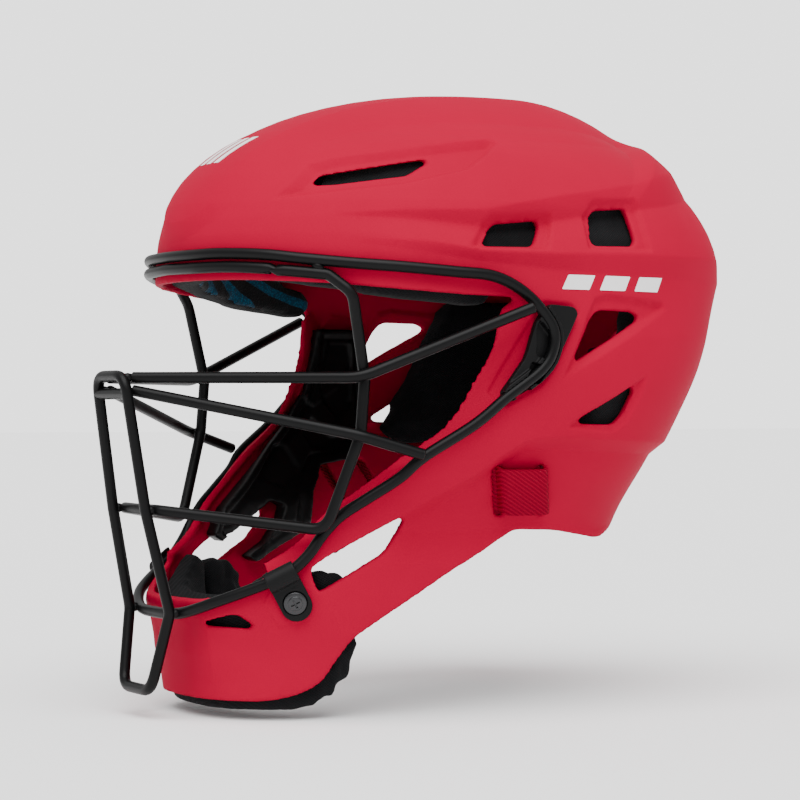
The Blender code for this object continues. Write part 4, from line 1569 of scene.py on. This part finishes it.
    def build(self) -> None:
        """Makes the wires, the short bar across the loop's head, and the welds."""
        radius = self.wire / 2
        perimeter, inner = self.perimeter_route(), self.inner_route()
        self.dressed(Bench.tube("perimeter", perimeter, radius, closed=True), "perimeter_wire")
        self.dressed(Bench.tube("inner", inner, radius, closed=True), "inner_loop_wire")
        left = self.loop_corners()
        loop = Path.bent(left + Path.mirrored(left[::-1], Side.RIGHT), self.bend, closed=True)
        self.dressed(Bench.tube("loop", loop, radius, closed=True), "centre_loop")
        head, mouth, waist, _ = left
        share = self.head_bar_drop / (head.z - mouth.z)
        spot = head.lerp(mouth, share)
        ends = [Vector((x, spot.y, spot.z)) for x in (spot.x, -spot.x)]
        self.dressed(Bench.tube("bar", ends, radius), "head_cross_bar")
        for side in Side:
            routes = self.bar_routes(side)
            for route, part in zip(routes, ("upper", "lower")):
                route[-1] -= (route[-1] - route[-2]).normalized() * self.bar_trim
                pieces = [Bench.tube("bar", route, radius), self.flat_end(route[-2], route[-1])]
                self.dressed(Bench.joined("bar", pieces), f"{part}_eye_bar_{side.label}")
            self.weld_side(side, routes, (head, mouth, waist))
        beads = Bench.joined("cage_welds", self.welds)
        Bench.shade(beads, 60)
        BLACK_WIRE.dress(beads, Body.SHELL)

    def flat_end(self, before: Vector, tip: Vector) -> Piece:
        """Makes the pressed, rounded end of a bar.

        Args:
            before: a point back along the bar.
            tip: the bar's end.

        Returns:
            The end piece.
        """
        bm = bmesh.new()
        bmesh.ops.create_uvsphere(bm, u_segments=24, v_segments=14, radius=self.wire / 2 * 1.01)
        turn = Vector((0, 0, 1)).rotation_difference(tip - before).to_matrix().to_4x4()
        size = Matrix.Diagonal((1, 1, 0.4, 1))
        bmesh.ops.transform(bm, matrix=Matrix.Translation(tip) @ turn @ size, verts=bm.verts)
        return Bench.place("end", bm)

    def weld_side(self, side: Side, routes: tuple[Route, Route], loop: Sequence[Vector]) -> None:
        """Welds the wires' crossings on one side.

        Args:
            side: the side.
            routes: the eye bars' routes.
            loop: the centre loop's head, mouth and waist corners on the left.
        """
        for route, k in zip(routes, (1, 2)):
            corner = Path.mirrored([Vector(self.drop[k])], side)[0]
            near = min(route, key=lambda point: (point - corner).length)
            self.weld((corner + near) / 2, near - corner, self.pitch)
            start = route[0]
            self.weld(start + Vector((0, -self.pitch / 2, 0)), Vector((0, 1, 0)), self.pitch)
        for corner in Path.mirrored(loop[1:], side):
            self.weld(corner + Vector((0, self.pitch / 2, 0)), Vector((0, 1, 0)), self.pitch * 1.05)
        perimeter = Path.mirrored(self.laid(self.perimeter)[2:4], side)
        brow = Path.mirrored([Vector(self.brow[-1])], side)[0]
        top = FORM.stood_off(min(perimeter, key=lambda point: (point - brow).length), self.stand_off)
        foot = FORM.stood_off(brow, self.stand_off)
        self.weld((top + foot) / 2, top - foot, self.pitch * 1.3)


# ---- fittings


@dataclass
class Fittings:
    """The wire's rear gussets, the chin clips, and every screw, nut and rivet."""

    cage: Cage
    shell: Shell
    gusset: Outline = (
        (-11, 43), (-8, 46), (5, 45), (7, 42), (-5, 19), (-11, 11), (-27, 2), (-31, 6), (-20, 22),
        (-15, 38),
    )
    plate_rise: float = 2.5
    plate_sink: float = 0.6
    sleeve_rise: float = 4.3
    sleeve_wall: float = 1.7
    pockets: tuple[Outline, ...] = (
        ((-14.5, 36), (-13, 38.5), (-5.5, 29.5), (-4.5, 24), (-7, 19.5), (-14.5, 23)),
        ((-16.6, 20.4), (-9.4, 16.6), (-13.5, 10.2), (-20.5, 11.5)),
        ((-21.5, 9.4), (-16.5, 8.2), (-24, 3.6), (-27.8, 6.0)),
    )
    dots: Outline = ((-6.4, 40.6), (-4.6, 39.2), (-3.8, 36.2), (-4.6, 34.2))
    dot: float = 0.45
    trim_triangles: int = 26000
    clip_spot: tuple[float, float] = (-117.5, -75.5)
    clip_foot: tuple[float, float] = (-113.5, -95.0)
    clip_width: float = 14.0
    clip_tongue: float = 22.0
    clip_thick: float = 2.2
    screw_drop: float = 13.5
    shank: float = 4.4
    head: float = 10.0
    nut: float = 12.0
    nut_thick: float = 2.4
    rivet_head: float = 9.0
    top_rivet_head: float = 8.0

    def layer_depth(
        self, side: Side, outline: Outline, depths: tuple[float, float], corner: float
    ) -> Piece:
        """Makes a piece of the form's layer that fills an outline in side view.

        Args:
            side: the side it is on.
            outline: its outline.
            depths: its outer and inner depth.
            corner: how far its corners are cut back and rounded.

        Returns:
            The piece.
        """
        angles = (0.28 * math.pi * side.value, 0.72 * math.pi * side.value)
        heights = list(np.linspace(-6, 52, 30))
        piece = Bench.layer("layer", (min(angles), max(angles)), heights, 70, depths)
        return Bench.combine(piece, [Bench.prism("outline", outline, "X", ACROSS, corner)], Mode.KEEP)

    def make_gusset(self, side: Side, route: Route) -> None:
        """Makes the plate that traps the wire's rear corner, with its ribs, rim and dots.

        Args:
            side: the side it is on.
            route: the perimeter wire's route.
        """
        near = [point for point in route if point.x * side.value > 80 and -60 < point.y < 30]
        near.sort(key=lambda point: (point.z < 30, point.y if point.z > 30 else -point.y))
        plate = self.layer_depth(side, self.gusset, (-self.plate_rise, self.plate_sink), 2.4)
        sleeve = Bench.tube("sleeve", near, self.cage.wire / 2 + self.sleeve_wall)
        band = self.layer_depth(side, self.gusset, (-self.sleeve_rise, self.plate_sink), 2.4)
        band = Bench.combine(band, [sleeve], Mode.KEEP)
        plate = Bench.combine(plate, [band], Mode.JOIN)
        pits = [self.layer_depth(side, pit, (-9.0, -0.5), 1.2) for pit in self.pockets]
        plate = Bench.combine(plate, pits, Mode.CUT)
        groove = Bench.tube("groove", near, self.cage.wire / 2 + 0.15)
        plate = Bench.combine(plate, [groove], Mode.CUT)
        holes = []
        for y, z in self.dots:
            spot, normal = Path.at(y, z, side)
            drill = ((0, 0), (self.dot, 0), (self.dot, 5), (0, 5))
            holes.append(Bench.turned("dot", spot + normal * 1.6, normal, drill, 12))
        plate = Bench.combine(plate, holes, Mode.CUT)
        plate = Bench.voxels(plate, 0.4, 3)
        plate = Bench.thinned(plate, self.trim_triangles)
        Bench.shade(plate, 60)
        plate.name = f"gusset_plate_{side.label}"
        BLACK_PLASTIC.dress(plate, Body.SHELL, f"gusset_{side.label}")

    def clip_frame(self, side: Side, route: Route) -> tuple[Vector, Vector, Vector, Vector]:
        """Works out where a chin clip sits.

        Args:
            side: the side it is on.
            route: the perimeter wire's route.

        Returns:
            The wire's middle in it, and the directions along the wire, down the tongue and out.
        """
        spot, normal = Path.at(*self.clip_spot, side)
        foot, foot_normal = Path.at(*self.clip_foot, side)
        stand_off = self.cage.stand_off
        k = min(range(len(route)), key=lambda i: (route[i] - spot - normal * stand_off).length)
        centre = route[k] + (normal + foot_normal).normalized() * GAP
        along = (route[(k + 1) % len(route)] - route[k - 1]).normalized()
        if along.y > 0:
            along = -along
        down = foot + foot_normal * (stand_off + GAP) - centre
        down = (down - along * down.dot(along)).normalized()
        out = down.cross(along)
        return centre, along, down, out if out.dot(normal) > 0 else -out

    def make_clip(self, side: Side, route: Route) -> None:
        """Makes a chin clip with its screw and nut.

        Args:
            side: the side it is on.
            route: the perimeter wire's route.
        """
        centre, along, down, out = self.clip_frame(side, route)
        inner = self.cage.wire / 2 + 0.12
        outer = inner + self.clip_thick
        low = GAP - self.cage.stand_off
        turns = [math.pi * (1 - k / 24) for k in range(25)]
        profile = [(math.cos(a) * outer, math.sin(a) * outer) for a in turns]
        top = low + self.clip_thick
        profile += [(outer, top), (self.clip_tongue, top), (self.clip_tongue, low), (inner, low)]
        profile += [(math.cos(a) * inner, math.sin(a) * inner) for a in reversed(turns)]
        half = self.clip_width / 2
        clip = Bench.swept("clip", [
            [centre + down * a + out * b + along * half * way for a, b in profile] for way in (-1, 1)
        ])
        tongue = [
            centre + down * (self.clip_tongue - half + half * math.sin(a)) + along * half * math.cos(a)
            for a in (math.pi * k / 20 for k in range(21))
        ]
        tongue += [centre - down * 9 - along * half * 1.02, centre - down * 9 + along * half * 1.02]
        rounded = Bench.swept("rounded", [[point + out * way for point in tongue] for way in (-8, 12)])
        clip = Bench.combine(clip, [rounded], Mode.KEEP)
        seat = centre + down * self.screw_drop + out * top
        rim = self.head / 2 + 0.5
        well = ((0, -0.7), (rim, -0.7), (rim, 5), (0, 5))
        hole = self.shank / 2 + GAP
        bore = ((0, 20), (hole, 20), (hole, -20), (0, -20))
        groove = ((0, 0), (0.55, 0), (0.55, 3), (0, 3))
        lines = [
            Bench.swept("line", [
                [centre + down * (a + i) + out * (b + j) + along * reach for i, j in groove]
                for reach in (-half * 0.78, half * 0.78)
            ])
            for a, b in ((1.1, outer - 0.75), (outer + 1.3, top - 0.45))
        ]
        cutters = [Bench.turned("well", seat, out, well), Bench.turned("bore", seat, out, bore), *lines]
        clip = Bench.combine(clip, cutters, Mode.CUT)
        clip = Bench.voxels(clip, 0.35, 2)
        clip = Bench.thinned(clip, self.trim_triangles)
        Bench.shade(clip, 60)
        clip.name = f"clip_{side.label}"
        BLACK_PLASTIC.dress(clip, Body.SHELL, f"chin_clip_{side.label}")
        self.make_screw(side, seat + out * -0.5, out, along)
        self.make_nut(side, seat, out)

    def make_screw(self, side: Side, seat: Vector, out: Vector, along: Vector) -> None:
        """Makes a clip's low-headed screw with its crossed recess.

        Args:
            side: the side it is on.
            seat: the middle of its head's underside.
            out: the direction that its head faces.
            along: a direction of the recess.
        """
        reach = self.clip_thick + self.shell.wall + 4 * GAP + self.nut_thick - 0.5
        radius = self.head / 2
        profile = (
            (0, 1.5), (radius * 0.55, 1.5), (radius * 0.62, 1.35), (radius * 0.66, 1.1),
            (radius * 0.92, 1.0), (radius, 0.7), (radius, 0), (self.shank / 2, 0),
            (self.shank / 2, -reach), (0, -reach),
        )
        screw = Bench.turned("screw", seat, out, profile, 48)
        across = out.cross(along)
        square = ((-1, -1), (1, -1), (1, 1), (-1, 1))
        for way, other in ((along, across), (across, along)):
            corners = [way * (radius * 0.42 * i) + other * (0.45 * j) for i, j in square]
            ends = [[seat + out * lift + corner for corner in corners] for lift in (0.4, 4)]
            screw = Bench.combine(screw, [Bench.swept("arm", ends)], Mode.CUT)
        Bench.shade(screw, 35)
        screw.name = f"screw_{side.label}"
        BLACK_STEEL.dress(screw, Body.SHELL, f"clip_screw_{side.label}")

    def make_nut(self, side: Side, seat: Vector, out: Vector) -> None:
        """Makes a clip's flanged nut.

        Args:
            side: the side it is on.
            seat: the middle of the clip's outer face over the screw.
            out: the direction that the screw's head faces.
        """
        face = self.clip_thick + self.shell.wall + 4 * GAP
        hole, rim = self.shank / 2 + 0.05, self.nut / 2
        ring = (
            (hole, -face), (rim - 0.3, -face), (rim, -face - 0.3), (rim, -face - 0.8),
            (rim * 0.66, -face - 1.1), (rim * 0.62, -face - self.nut_thick),
            (hole, -face - self.nut_thick), (hole, -face),
        )
        nut = Bench.turned("nut", seat, out, ring, 36)
        Bench.shade(nut, 35)
        nut.name = f"nut_{side.label}"
        BLACK_STEEL.dress(nut, Body.SHELL, f"clip_nut_{side.label}")

    def make_rivet(
        self, name: str, spot: Vector, axis: Vector, head: float, body: Body, node: str
    ) -> None:
        """Makes a hollow-eyed rivet head.

        Args:
            name: the piece's name.
            spot: the middle of its underside.
            axis: the direction that it faces.
            head: its diameter.
            body: the body it rides on.
            node: the CAD node it stands for.
        """
        radius = head / 2
        profile = (
            (0, 0.9), (radius * 0.3, 0.9), (radius * 0.36, 1.7), (radius * 0.55, 2.0),
            (radius * 0.8, 1.6), (radius * 0.97, 0.8), (radius, 0.3), (radius * 0.97, 0), (0, 0),
        )
        rivet = Bench.turned(name, spot, axis, profile, 36)
        Bench.shade(rivet, 50)
        BLACK_STEEL.dress(rivet, body, node)

    def build(self, straps: "Straps") -> None:
        """Makes the fittings.

        Args:
            straps: the straps, for their rivets' places.
        """
        route = self.cage.perimeter_route()
        for side in Side:
            self.make_gusset(side, route)
            self.make_clip(side, route)
        under = self.shell.wall + 3 * GAP + straps.thick
        ends = (
            ("front", self.shell.slots[0] - 19, Body.SHELL),
            ("rear", straps.end - 1.6, Body.PLATE),
        )
        for side in Side:
            for part, y, body in ends:
                angle = FORM.angle_at(y, straps.height) * side.value
                spot, normal = FORM.under(angle, straps.height, under), FORM.normal(angle, straps.height)
                node = f"strap_rivet_{part}_{side.label}"
                self.make_rivet(f"rivet_{part}_{side.label}", spot, -normal, self.rivet_head, body, node)
        for part, height, body in (("shell", 53.5, Body.SHELL), ("plate", 39.0, Body.PLATE)):
            spot, normal = FORM.under(math.pi, height, under), FORM.normal(math.pi, height)
            node = f"top_strap_rivet_{part}"
            self.make_rivet(f"top_rivet_{part}", spot, -normal, self.top_rivet_head, body, node)


# ---- straps


@dataclass(frozen=True)
class Straps:
    """The two elastic side straps and the top strap that carry the back plate."""

    shell: Shell
    thick: float = 1.7
    height: float = -38.0
    tail: tuple[float, float] = (26.0, 14.0)
    turn: float = 1.4
    run: tuple[float, ...] = (18, 32, 46, 58, 68, 76, 82.5, 87, 90.2)
    end: float = 91.6
    edge: float = 0.35

    def path(self) -> list[tuple[float, float]]:
        """Lays the strap's middle: under the shell, out between the slots and back under it.

        Returns:
            The (y, depth) points, from the front tail to the plate.
        """
        inside = self.shell.wall + GAP + self.thick / 2
        outside = -(GAP + self.thick / 2)
        first, second = self.shell.slots
        middle = (inside + outside) / 2
        path = [(first - tail, inside) for tail in self.tail]
        path += [(first - self.turn, inside), (first, middle), (first + self.turn, outside)]
        path += [((first + second) / 2, outside - 0.4), (second - self.turn, outside)]
        path += [(second, middle), (second + self.turn, inside)]
        return path + [(y, inside) for y in (*self.run, self.end)]

    def corners(
        self, side: Side, y: float, depth: float, lift: tuple[float, float]
    ) -> list[Vector]:
        """Returns the strap's section at one station.

        Args:
            side: the side it is on.
            y: where the station is.
            depth: its depth under the surface.
            lift: the unit direction across the strap's thickness, as (y, depth).

        Returns:
            The section's corners, with its edges cut back.
        """
        wide, thick = self.shell.strap_width / 2, self.thick / 2
        cut = self.edge
        ring = (
            (-1, -thick + cut), (-1, thick - cut), (-1 + cut / wide, thick), (1 - cut / wide, thick),
            (1, thick - cut), (1, -thick + cut), (1 - cut / wide, -thick), (-1 + cut / wide, -thick),
        )
        found = []
        for across, layer in ring:
            height = self.height + across * wide
            lean = -across * wide * self.shell.strap_lean * max(0.0, min(1.0, (60 - y) / 40))
            upright = FORM.angle_at(y + lean + lift[0] * layer, height)
            nape = max(0.0, min(1.0, (y - 46) / 30))
            angle = upright * (1 - nape) + FORM.angle_at(y, self.height) * nape
            found.append(FORM.under(angle * side.value, height, depth + lift[1] * layer))
        return found

    def stations(self, side: Side) -> list[list[Vector]]:
        """Lays the side strap's sections, from its front tail to the plate.

        Args:
            side: the side it is on.

        Returns:
            The section's corners at each station.
        """
        rough = [Vector((y, depth, 0)) for y, depth in self.path()]
        path = Path.smoothed(rough, 1.1)
        sections = []
        for k, spot in enumerate(path):
            on, back = path[min(k + 1, len(path) - 1)], path[max(k - 1, 0)]
            run = on - back
            lift = (run.y / run.length, -run.x / run.length)
            sections.append(self.corners(side, spot.x, spot.y, lift))
        return sections

    def build(self) -> None:
        """Makes the two side straps and the top strap."""
        for side in Side:
            sections = self.stations(side)
            strap = Bench.swept(f"webbing_{side.label}", sections)
            Bench.shade(strap, 45)
            self.finish(strap, f"side_strap_{side.label}")
            middle = [sum(corners, Vector()) / len(corners) for corners in sections]
            start = min(middle, key=lambda point: abs(point.y - 72) + 1000 * (point.x * side.value < 0))
            tuple(Bench.metres(start))
            tuple(Bench.metres(middle[-6]))
            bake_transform(strap)
        depth = self.shell.wall + GAP
        ring = (
            (-1, 0.25), (-1, 0.75), (-0.94, 1), (0.94, 1), (1, 0.75), (1, 0.25), (0.94, 0), (-0.94, 0),
        )
        sections = [
            [FORM.under(math.pi + a * 0.085, float(height), depth + b * self.thick) for a, b in ring]
            for height in np.linspace(35, 59, 24)
        ]
        top = Bench.swept("webbing_top", sections)
        Bench.shade(top, 45)
        self.finish(top, "top_strap")
        low, high = (sum(corners, Vector()) / len(corners) for corners in (sections[5], sections[-7]))
        tuple(Bench.metres(high))
        tuple(Bench.metres(low))
        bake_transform(top)

    @staticmethod
    def finish(strap: Piece, node: str) -> None:
        """Gives a strap its webbing and its CAD node.

        Args:
            strap: the strap.
            node: the node.
        """
        strap.data.materials.clear()
        strap.data.materials.append(WEBBING.material())
        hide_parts(node)


# ---- liner


@dataclass(frozen=True)
class Pad:
    """One liner pad: how it fills out, and how it is worked."""

    node: str
    body: Body = Body.SHELL
    pressure: float = 4.0
    most: float = 5.0
    fill: float = 0.7
    voxel: float = 4.0


@dataclass
class Liner:
    """The padded liner: knit pads filled by cloth simulation, and moulded foam pads."""

    shell_node: Piece
    frames: int = 20
    knit: tuple[Pad, ...] = (
        Pad("crown_pad", most=4.0),
        Pad("brow_pad", most=3.5),
        Pad("chin_pad", most=4.0, voxel=3.5),
        Pad("throat_pad", most=4.0, pressure=3.0, fill=0.5, voxel=3.5),
        Pad("rear_pad", Body.PLATE),
        Pad("rear_side_pad_left"),
        Pad("rear_side_pad_right"),
    )
    upper: Outline = (
        (-47, 64), (62, 62), (72, 80), (60, 112), (20, 124), (-50, 121), (-98, 111), (-112, 97), (-70, 93),
    )
    channel: Outline = ((-60, 84), (40, 80), (44, 92), (10, 104), (-40, 106), (-84, 100))
    jaw: Outline = (
        (-21, 40), (5, 40), (7, 26), (6, 8), (4, -12), (-12, -26), (-30, -29), (-40, -42), (-44, -60),
        (-72, -76), (-98, -62), (-91, -49), (-76, -37), (-60, -22), (-42, -6), (-31, 8), (-24, 26),
    )
    cells: tuple[Outline, ...] = (
        ((-16, 34), (-2, 34), (0, 20), (-2, 2), (-12, -8), (-22, 6), (-19, 22)),
        ((-18, -14), (-6, -16), (-14, -22), (-30, -22), (-36, -12), (-28, -4)),
        ((-46, -18), (-40, -30), (-46, -40), (-56, -40), (-66, -36), (-62, -28), (-54, -18)),
    )

    def wall(self) -> BVHTree:
        """Makes a search tree of the shell's CAD node.

        Returns:
            The search tree, in world space.
        """
        mesh, world = self.shell_node.data, self.shell_node.matrix_world
        faces = [tuple(face.vertices) for face in mesh.polygons]
        return BVHTree.FromPolygons([world @ vert.co for vert in mesh.vertices], faces)

    def copied(self, node: str) -> Piece:
        """Copies a CAD node's mesh into a new object.

        Args:
            node: the node's name.

        Returns:
            The copy.
        """
        source = frame["nodes"][node]
        graph = bpy.context.evaluated_depsgraph_get()
        mesh = bpy.data.meshes.new_from_object(source.evaluated_get(graph))
        mesh.transform(source.matrix_world)
        return Bench.link(node + "_copy", mesh)

    def settled(self, obj: Piece) -> None:
        """Draws a pad in where the shell's relief is sunk over it.

        Args:
            obj: the pad.
        """
        points = Bench.layout_points(obj)
        moved = RELIEF.shift(points)
        sunk = RELIEF.height(points) < 0
        points[sunk] = moved[sunk]
        Bench.move_to(obj, points)

    def filled(self, pad: Pad, obj: Piece) -> Piece:
        """Fills a pad out as cloth over foam, with the face on the shell held.

        Args:
            pad: how it fills out.
            obj: the pad's even mesh.

        Returns:
            The filled pad.
        """
        wall = self.wall()
        held = []
        for vert in obj.data.vertices:
            _, _, _, distance = wall.find_nearest(obj.matrix_world @ vert.co)
            if distance is None or distance < 2.5 * MM:
                held.append(vert.index)
        if pad.body is Body.PLATE:
            held = [vert.index for vert in obj.data.vertices if vert.normal.y > 0.5]
        group = obj.vertex_groups.new(name="held")
        group.add(held, 1.0, "REPLACE")
        before = Bench.layout_points(obj)
        cloth = obj.modifiers.new("cloth", "CLOTH")
        settings = cloth.settings
        settings.vertex_group_mass = "held"
        settings.use_pressure = True
        settings.uniform_pressure_force = pad.pressure
        settings.effector_weights.gravity = 0.0
        settings.tension_stiffness = 12.0
        settings.compression_stiffness = 6.0
        settings.bending_stiffness = 0.4
        settings.quality = 5
        cloth.point_cache.frame_start = 1
        cloth.point_cache.frame_end = self.frames
        scene = bpy.context.scene
        for number in range(1, self.frames + 1):
            scene.frame_set(number)
            bpy.context.evaluated_depsgraph_get().update()
        obj = Bench.bake(obj)
        scene.frame_set(1)
        move = Bench.layout_points(obj) - before
        length = np.maximum(np.linalg.norm(move, axis=1), 1e-9)
        move *= (pad.most * np.tanh(length / pad.most) / length)[:, None]
        Bench.move_to(obj, before + move)
        return obj

    def make_knit(self, pad: Pad) -> None:
        """Makes one knit pad.

        Args:
            pad: the pad.
        """
        obj = Bench.voxels(self.copied(pad.node), pad.voxel, 2, 0.4)
        obj = self.filled(pad, obj)
        self.settled(obj)
        if pad.node == "throat_pad":
            self.crumple(obj)
        subdivide = obj.modifiers.new("subdivide", "SUBSURF")
        subdivide.levels = subdivide.render_levels = 1
        obj = Bench.bake(obj)
        Bench.shade(obj, 180)
        obj.name = "padded_" + pad.node
        KNIT.dress(obj, pad.body, pad.node)
        if pad.node == "brow_pad":
            self.stripe(obj)

    @staticmethod
    def crumple(obj: Piece) -> None:
        """Wrinkles the loose rear ends of the throat pad.

        Args:
            obj: the pad.
        """
        points, normals = Bench.layout_points(obj), Bench.normals(obj)
        loose = np.clip((points[:, 1] + 104) / 12, 0, 1)
        waves = np.sin(points[:, 2] * 0.62 + np.sin(points[:, 1] * 0.5) * 1.6)
        waves += 0.6 * np.sin(points[:, 1] * 0.9)
        Bench.move_to(obj, points + normals * (loose * waves * 1.3)[:, None])

    @staticmethod
    def stripe(obj: Piece) -> None:
        """Gives the band round the inside of the brow pad its striped mesh.

        Args:
            obj: the pad.
        """
        obj.data.materials.append(STRIPED.material())
        for face in obj.data.polygons:
            spot = face.center / MM + Bench.ORIGIN
            inward = face.normal.dot(Vector((-spot.x, 10 - spot.y, 0)).normalized())
            if inward > 0.35 and 48 < spot.z < 80:
                face.material_index = 1

    def make_foam(self, node: str, finish: Finish, outline: Outline, cells: Sequence[Outline]) -> None:
        """Makes one moulded foam pad with a raised border, a groove and sunk cells.

        Args:
            node: the CAD node it stands for.
            finish: its finish.
            outline: its outline in side view.
            cells: the outlines of its sunk cells.
        """
        obj = Bench.voxels(self.copied(node), 1.1, 6)
        self.settled(obj)
        points, normals = Bench.layout_points(obj), Bench.normals(obj)
        inward = -points.copy()
        inward[:, 1] += 10
        inward[:, 2] = np.where(points[:, 2] > 60, 60 - points[:, 2], 0)
        inward /= np.linalg.norm(inward, axis=1)[:, None]
        facing = np.clip(((normals * inward).sum(axis=1) - 0.35) / 0.3, 0, 1)
        border = RELIEF.inside(outline, points[:, 1], points[:, 2])
        depth = -2.2 * np.exp(-(((border - 5.0) / 1.1) ** 2))
        for cell in cells:
            depth -= 1.9 * np.clip(RELIEF.inside(cell, points[:, 1], points[:, 2]) / 1.6, 0, 1)
        Bench.move_to(obj, points - inward * (-depth * facing)[:, None])
        obj = Bench.thinned(Bench.soften(obj, 1), 32000)
        Bench.shade(obj, 180)
        obj.name = "moulded_" + node
        finish.dress(obj, Body.SHELL, node)

    def build(self) -> None:
        """Makes every pad of the liner."""
        for pad in self.knit:
            self.make_knit(pad)
        for side in Side:
            self.make_foam(f"upper_pad_{side.label}", KNIT, self.upper, (self.channel,))
            self.make_foam(f"jaw_pad_{side.label}", FOAM, self.jaw, self.cells)


# ---- marks


@dataclass(frozen=True)
class Marks:
    """Generic slanted bars where such helmets carry print."""

    bar: Outline = ((1, 53.5), (5, 60.5), (20, 60.5), (16, 53.5))
    pitch: float = 21.0
    count: int = 3
    brow_bar: Outline = ((-11, 111), (-6.5, 111), (-2.5, 124), (-7, 124))
    brow_pitch: float = 7.5
    rise: float = 0.2
    sink: float = 0.4

    def patch(self, outline: Outline, spot: Callable[[float, float], Vector]) -> Piece:
        """Makes a thin print that lies on the moulded surface.

        Args:
            outline: its outline as it is seen.
            spot: gives the form's point for a place in that view.

        Returns:
            The print.
        """
        bm = bmesh.new()
        bm.faces.new([bm.verts.new((0, y, z)) for y, z in outline])
        Bench.rounded(bm, 0.5, 3)
        for way in (Vector((0, 1, 0)), Vector((0, 0, 1))):
            for cut in np.arange(-30, 130, 1.5):
                geom = bm.verts[:] + bm.edges[:] + bm.faces[:]
                bmesh.ops.bisect_plane(bm, geom=geom, plane_co=way * float(cut), plane_no=way)
        for vert in bm.verts:
            vert.co = RELIEF.moved(spot(vert.co.y, vert.co.z))
        middle = Vector((0, 10, 60))
        made = set(Bench.extruded(bm, bm.faces[:], BMVert))
        for vert in bm.verts:
            vert.co += (vert.co - middle).normalized() * (self.rise if vert in made else -self.sink)
        return Bench.place("print", bm)

    def build(self) -> None:
        """Makes the prints."""
        for side in Side:
            parts = [
                self.patch(bar, lambda y, z: Path.at(y, z, side)[0]) for bar in self.row(self.bar, self.pitch)
            ]
            WHITE.dress(Bench.joined(f"side_print_{side.label}", parts), Body.SHELL)
        front = [
            self.patch(bar, lambda x, z: FORM.point(FORM.front_angle(x, z), z))
            for bar in self.row(self.brow_bar, self.brow_pitch)
        ]
        WHITE.dress(Bench.joined("brow_print", front), Body.SHELL)

    def row(self, bar: Outline, pitch: float) -> list[list[tuple[float, float]]]:
        """Returns the outlines of a row of equal bars."""
        return [[(a + pitch * k, b) for a, b in bar] for k in range(self.count)]


# ---- studio


@dataclass(frozen=True)
class Studio:
    """A pale floor, soft light and the camera."""

    camera_at: tuple[float, float, float] = (1.039, -0.622, -0.122)
    looks_at: tuple[float, float, float] = (0.0, -0.022, -0.122)
    lens: float = 112.5
    shift: tuple[float, float] = (-0.004, 0.009)
    floor_height: float = -0.262
    floor_grey: float = 0.9
    sky: float = 0.95
    backdrop: float = 2.25
    top_power: float = 5.2
    softness: float = 60.0
    light_from: tuple[float, float, float] = (0.45, -0.3, 1.0)

    def floor(self) -> None:
        """Lays a wide plain floor under the helmet."""
        bm = bmesh.new()
        bmesh.ops.create_grid(bm, x_segments=1, y_segments=1, size=12)
        bmesh.ops.translate(bm, verts=bm.verts, vec=(0, 0, self.floor_height))
        floor = Bench.freed("floor", bm)
        paint = bpy.data.materials.new("floor_paint")
        paint.use_nodes = True
        shader = paint.node_tree.nodes["Principled BSDF"]
        shader.inputs["Base Color"].default_value = (*[self.floor_grey] * 3, 1)
        shader.inputs["Roughness"].default_value = 0.9
        floor.data.materials.append(paint)

    def light(self) -> None:
        """Adds one wide, soft light from above, a little towards the camera's side."""
        data = bpy.data.lights.new("top_light", "SUN")
        data.energy = self.top_power
        data.angle = math.radians(self.softness)
        lamp = Bench.link("top_light", data)
        lamp.rotation_euler = (-Vector(self.light_from)).to_track_quat("-Z", "Y").to_euler()

    def build(self) -> None:
        """Sets the floor, the sky, the light and the camera."""
        self.floor()
        world = bpy.data.worlds.new("studio")
        world.use_nodes = True
        nodes, links = world.node_tree.nodes, world.node_tree.links
        sky = nodes["Background"]
        sky.inputs["Strength"].default_value = self.sky
        backdrop = nodes.new("ShaderNodeBackground")
        backdrop.inputs["Strength"].default_value = self.backdrop
        mix, rays = nodes.new("ShaderNodeMixShader"), nodes.new("ShaderNodeLightPath")
        links.new(rays.outputs["Is Camera Ray"], mix.inputs["Fac"])
        links.new(sky.outputs["Background"], mix.inputs[1])
        links.new(backdrop.outputs["Background"], mix.inputs[2])
        links.new(mix.outputs["Shader"], nodes["World Output"].inputs["Surface"])
        for background in (sky, backdrop):
            background.inputs["Color"].default_value = (1, 1, 1, 1)
        bpy.context.scene.world = world
        self.light()
        data = bpy.data.cameras.new("camera")
        data.lens = self.lens
        data.sensor_width = 36.0
        data.shift_x, data.shift_y = self.shift
        camera = Bench.link("camera", data)
        camera.location = Vector(self.camera_at)
        aim = Vector(self.looks_at) - camera.location
        camera.rotation_euler = aim.to_track_quat("-Z", "Y").to_euler()
        bpy.context.scene.camera = camera


# ---- build


def main() -> None:
    """Builds the helmet's looks."""
    logging.basicConfig(level=logging.INFO, format="%(message)s")
    shell = Shell()
    log.info("shell: %d faces", len(shell.build().data.polygons))
    log.info("plate: %d faces", len(shell.build_plate().data.polygons))
    cage = Cage()
    cage.build()
    straps = Straps(shell)
    straps.build()
    Fittings(cage, shell).build(straps)
    log.info("cage, straps and fittings done")
    Liner(frame["nodes"]["helmet_shell"]).build()
    log.info("liner done")
    Marks().build()
    Studio().build()


if __name__ == "__main__":
    main()
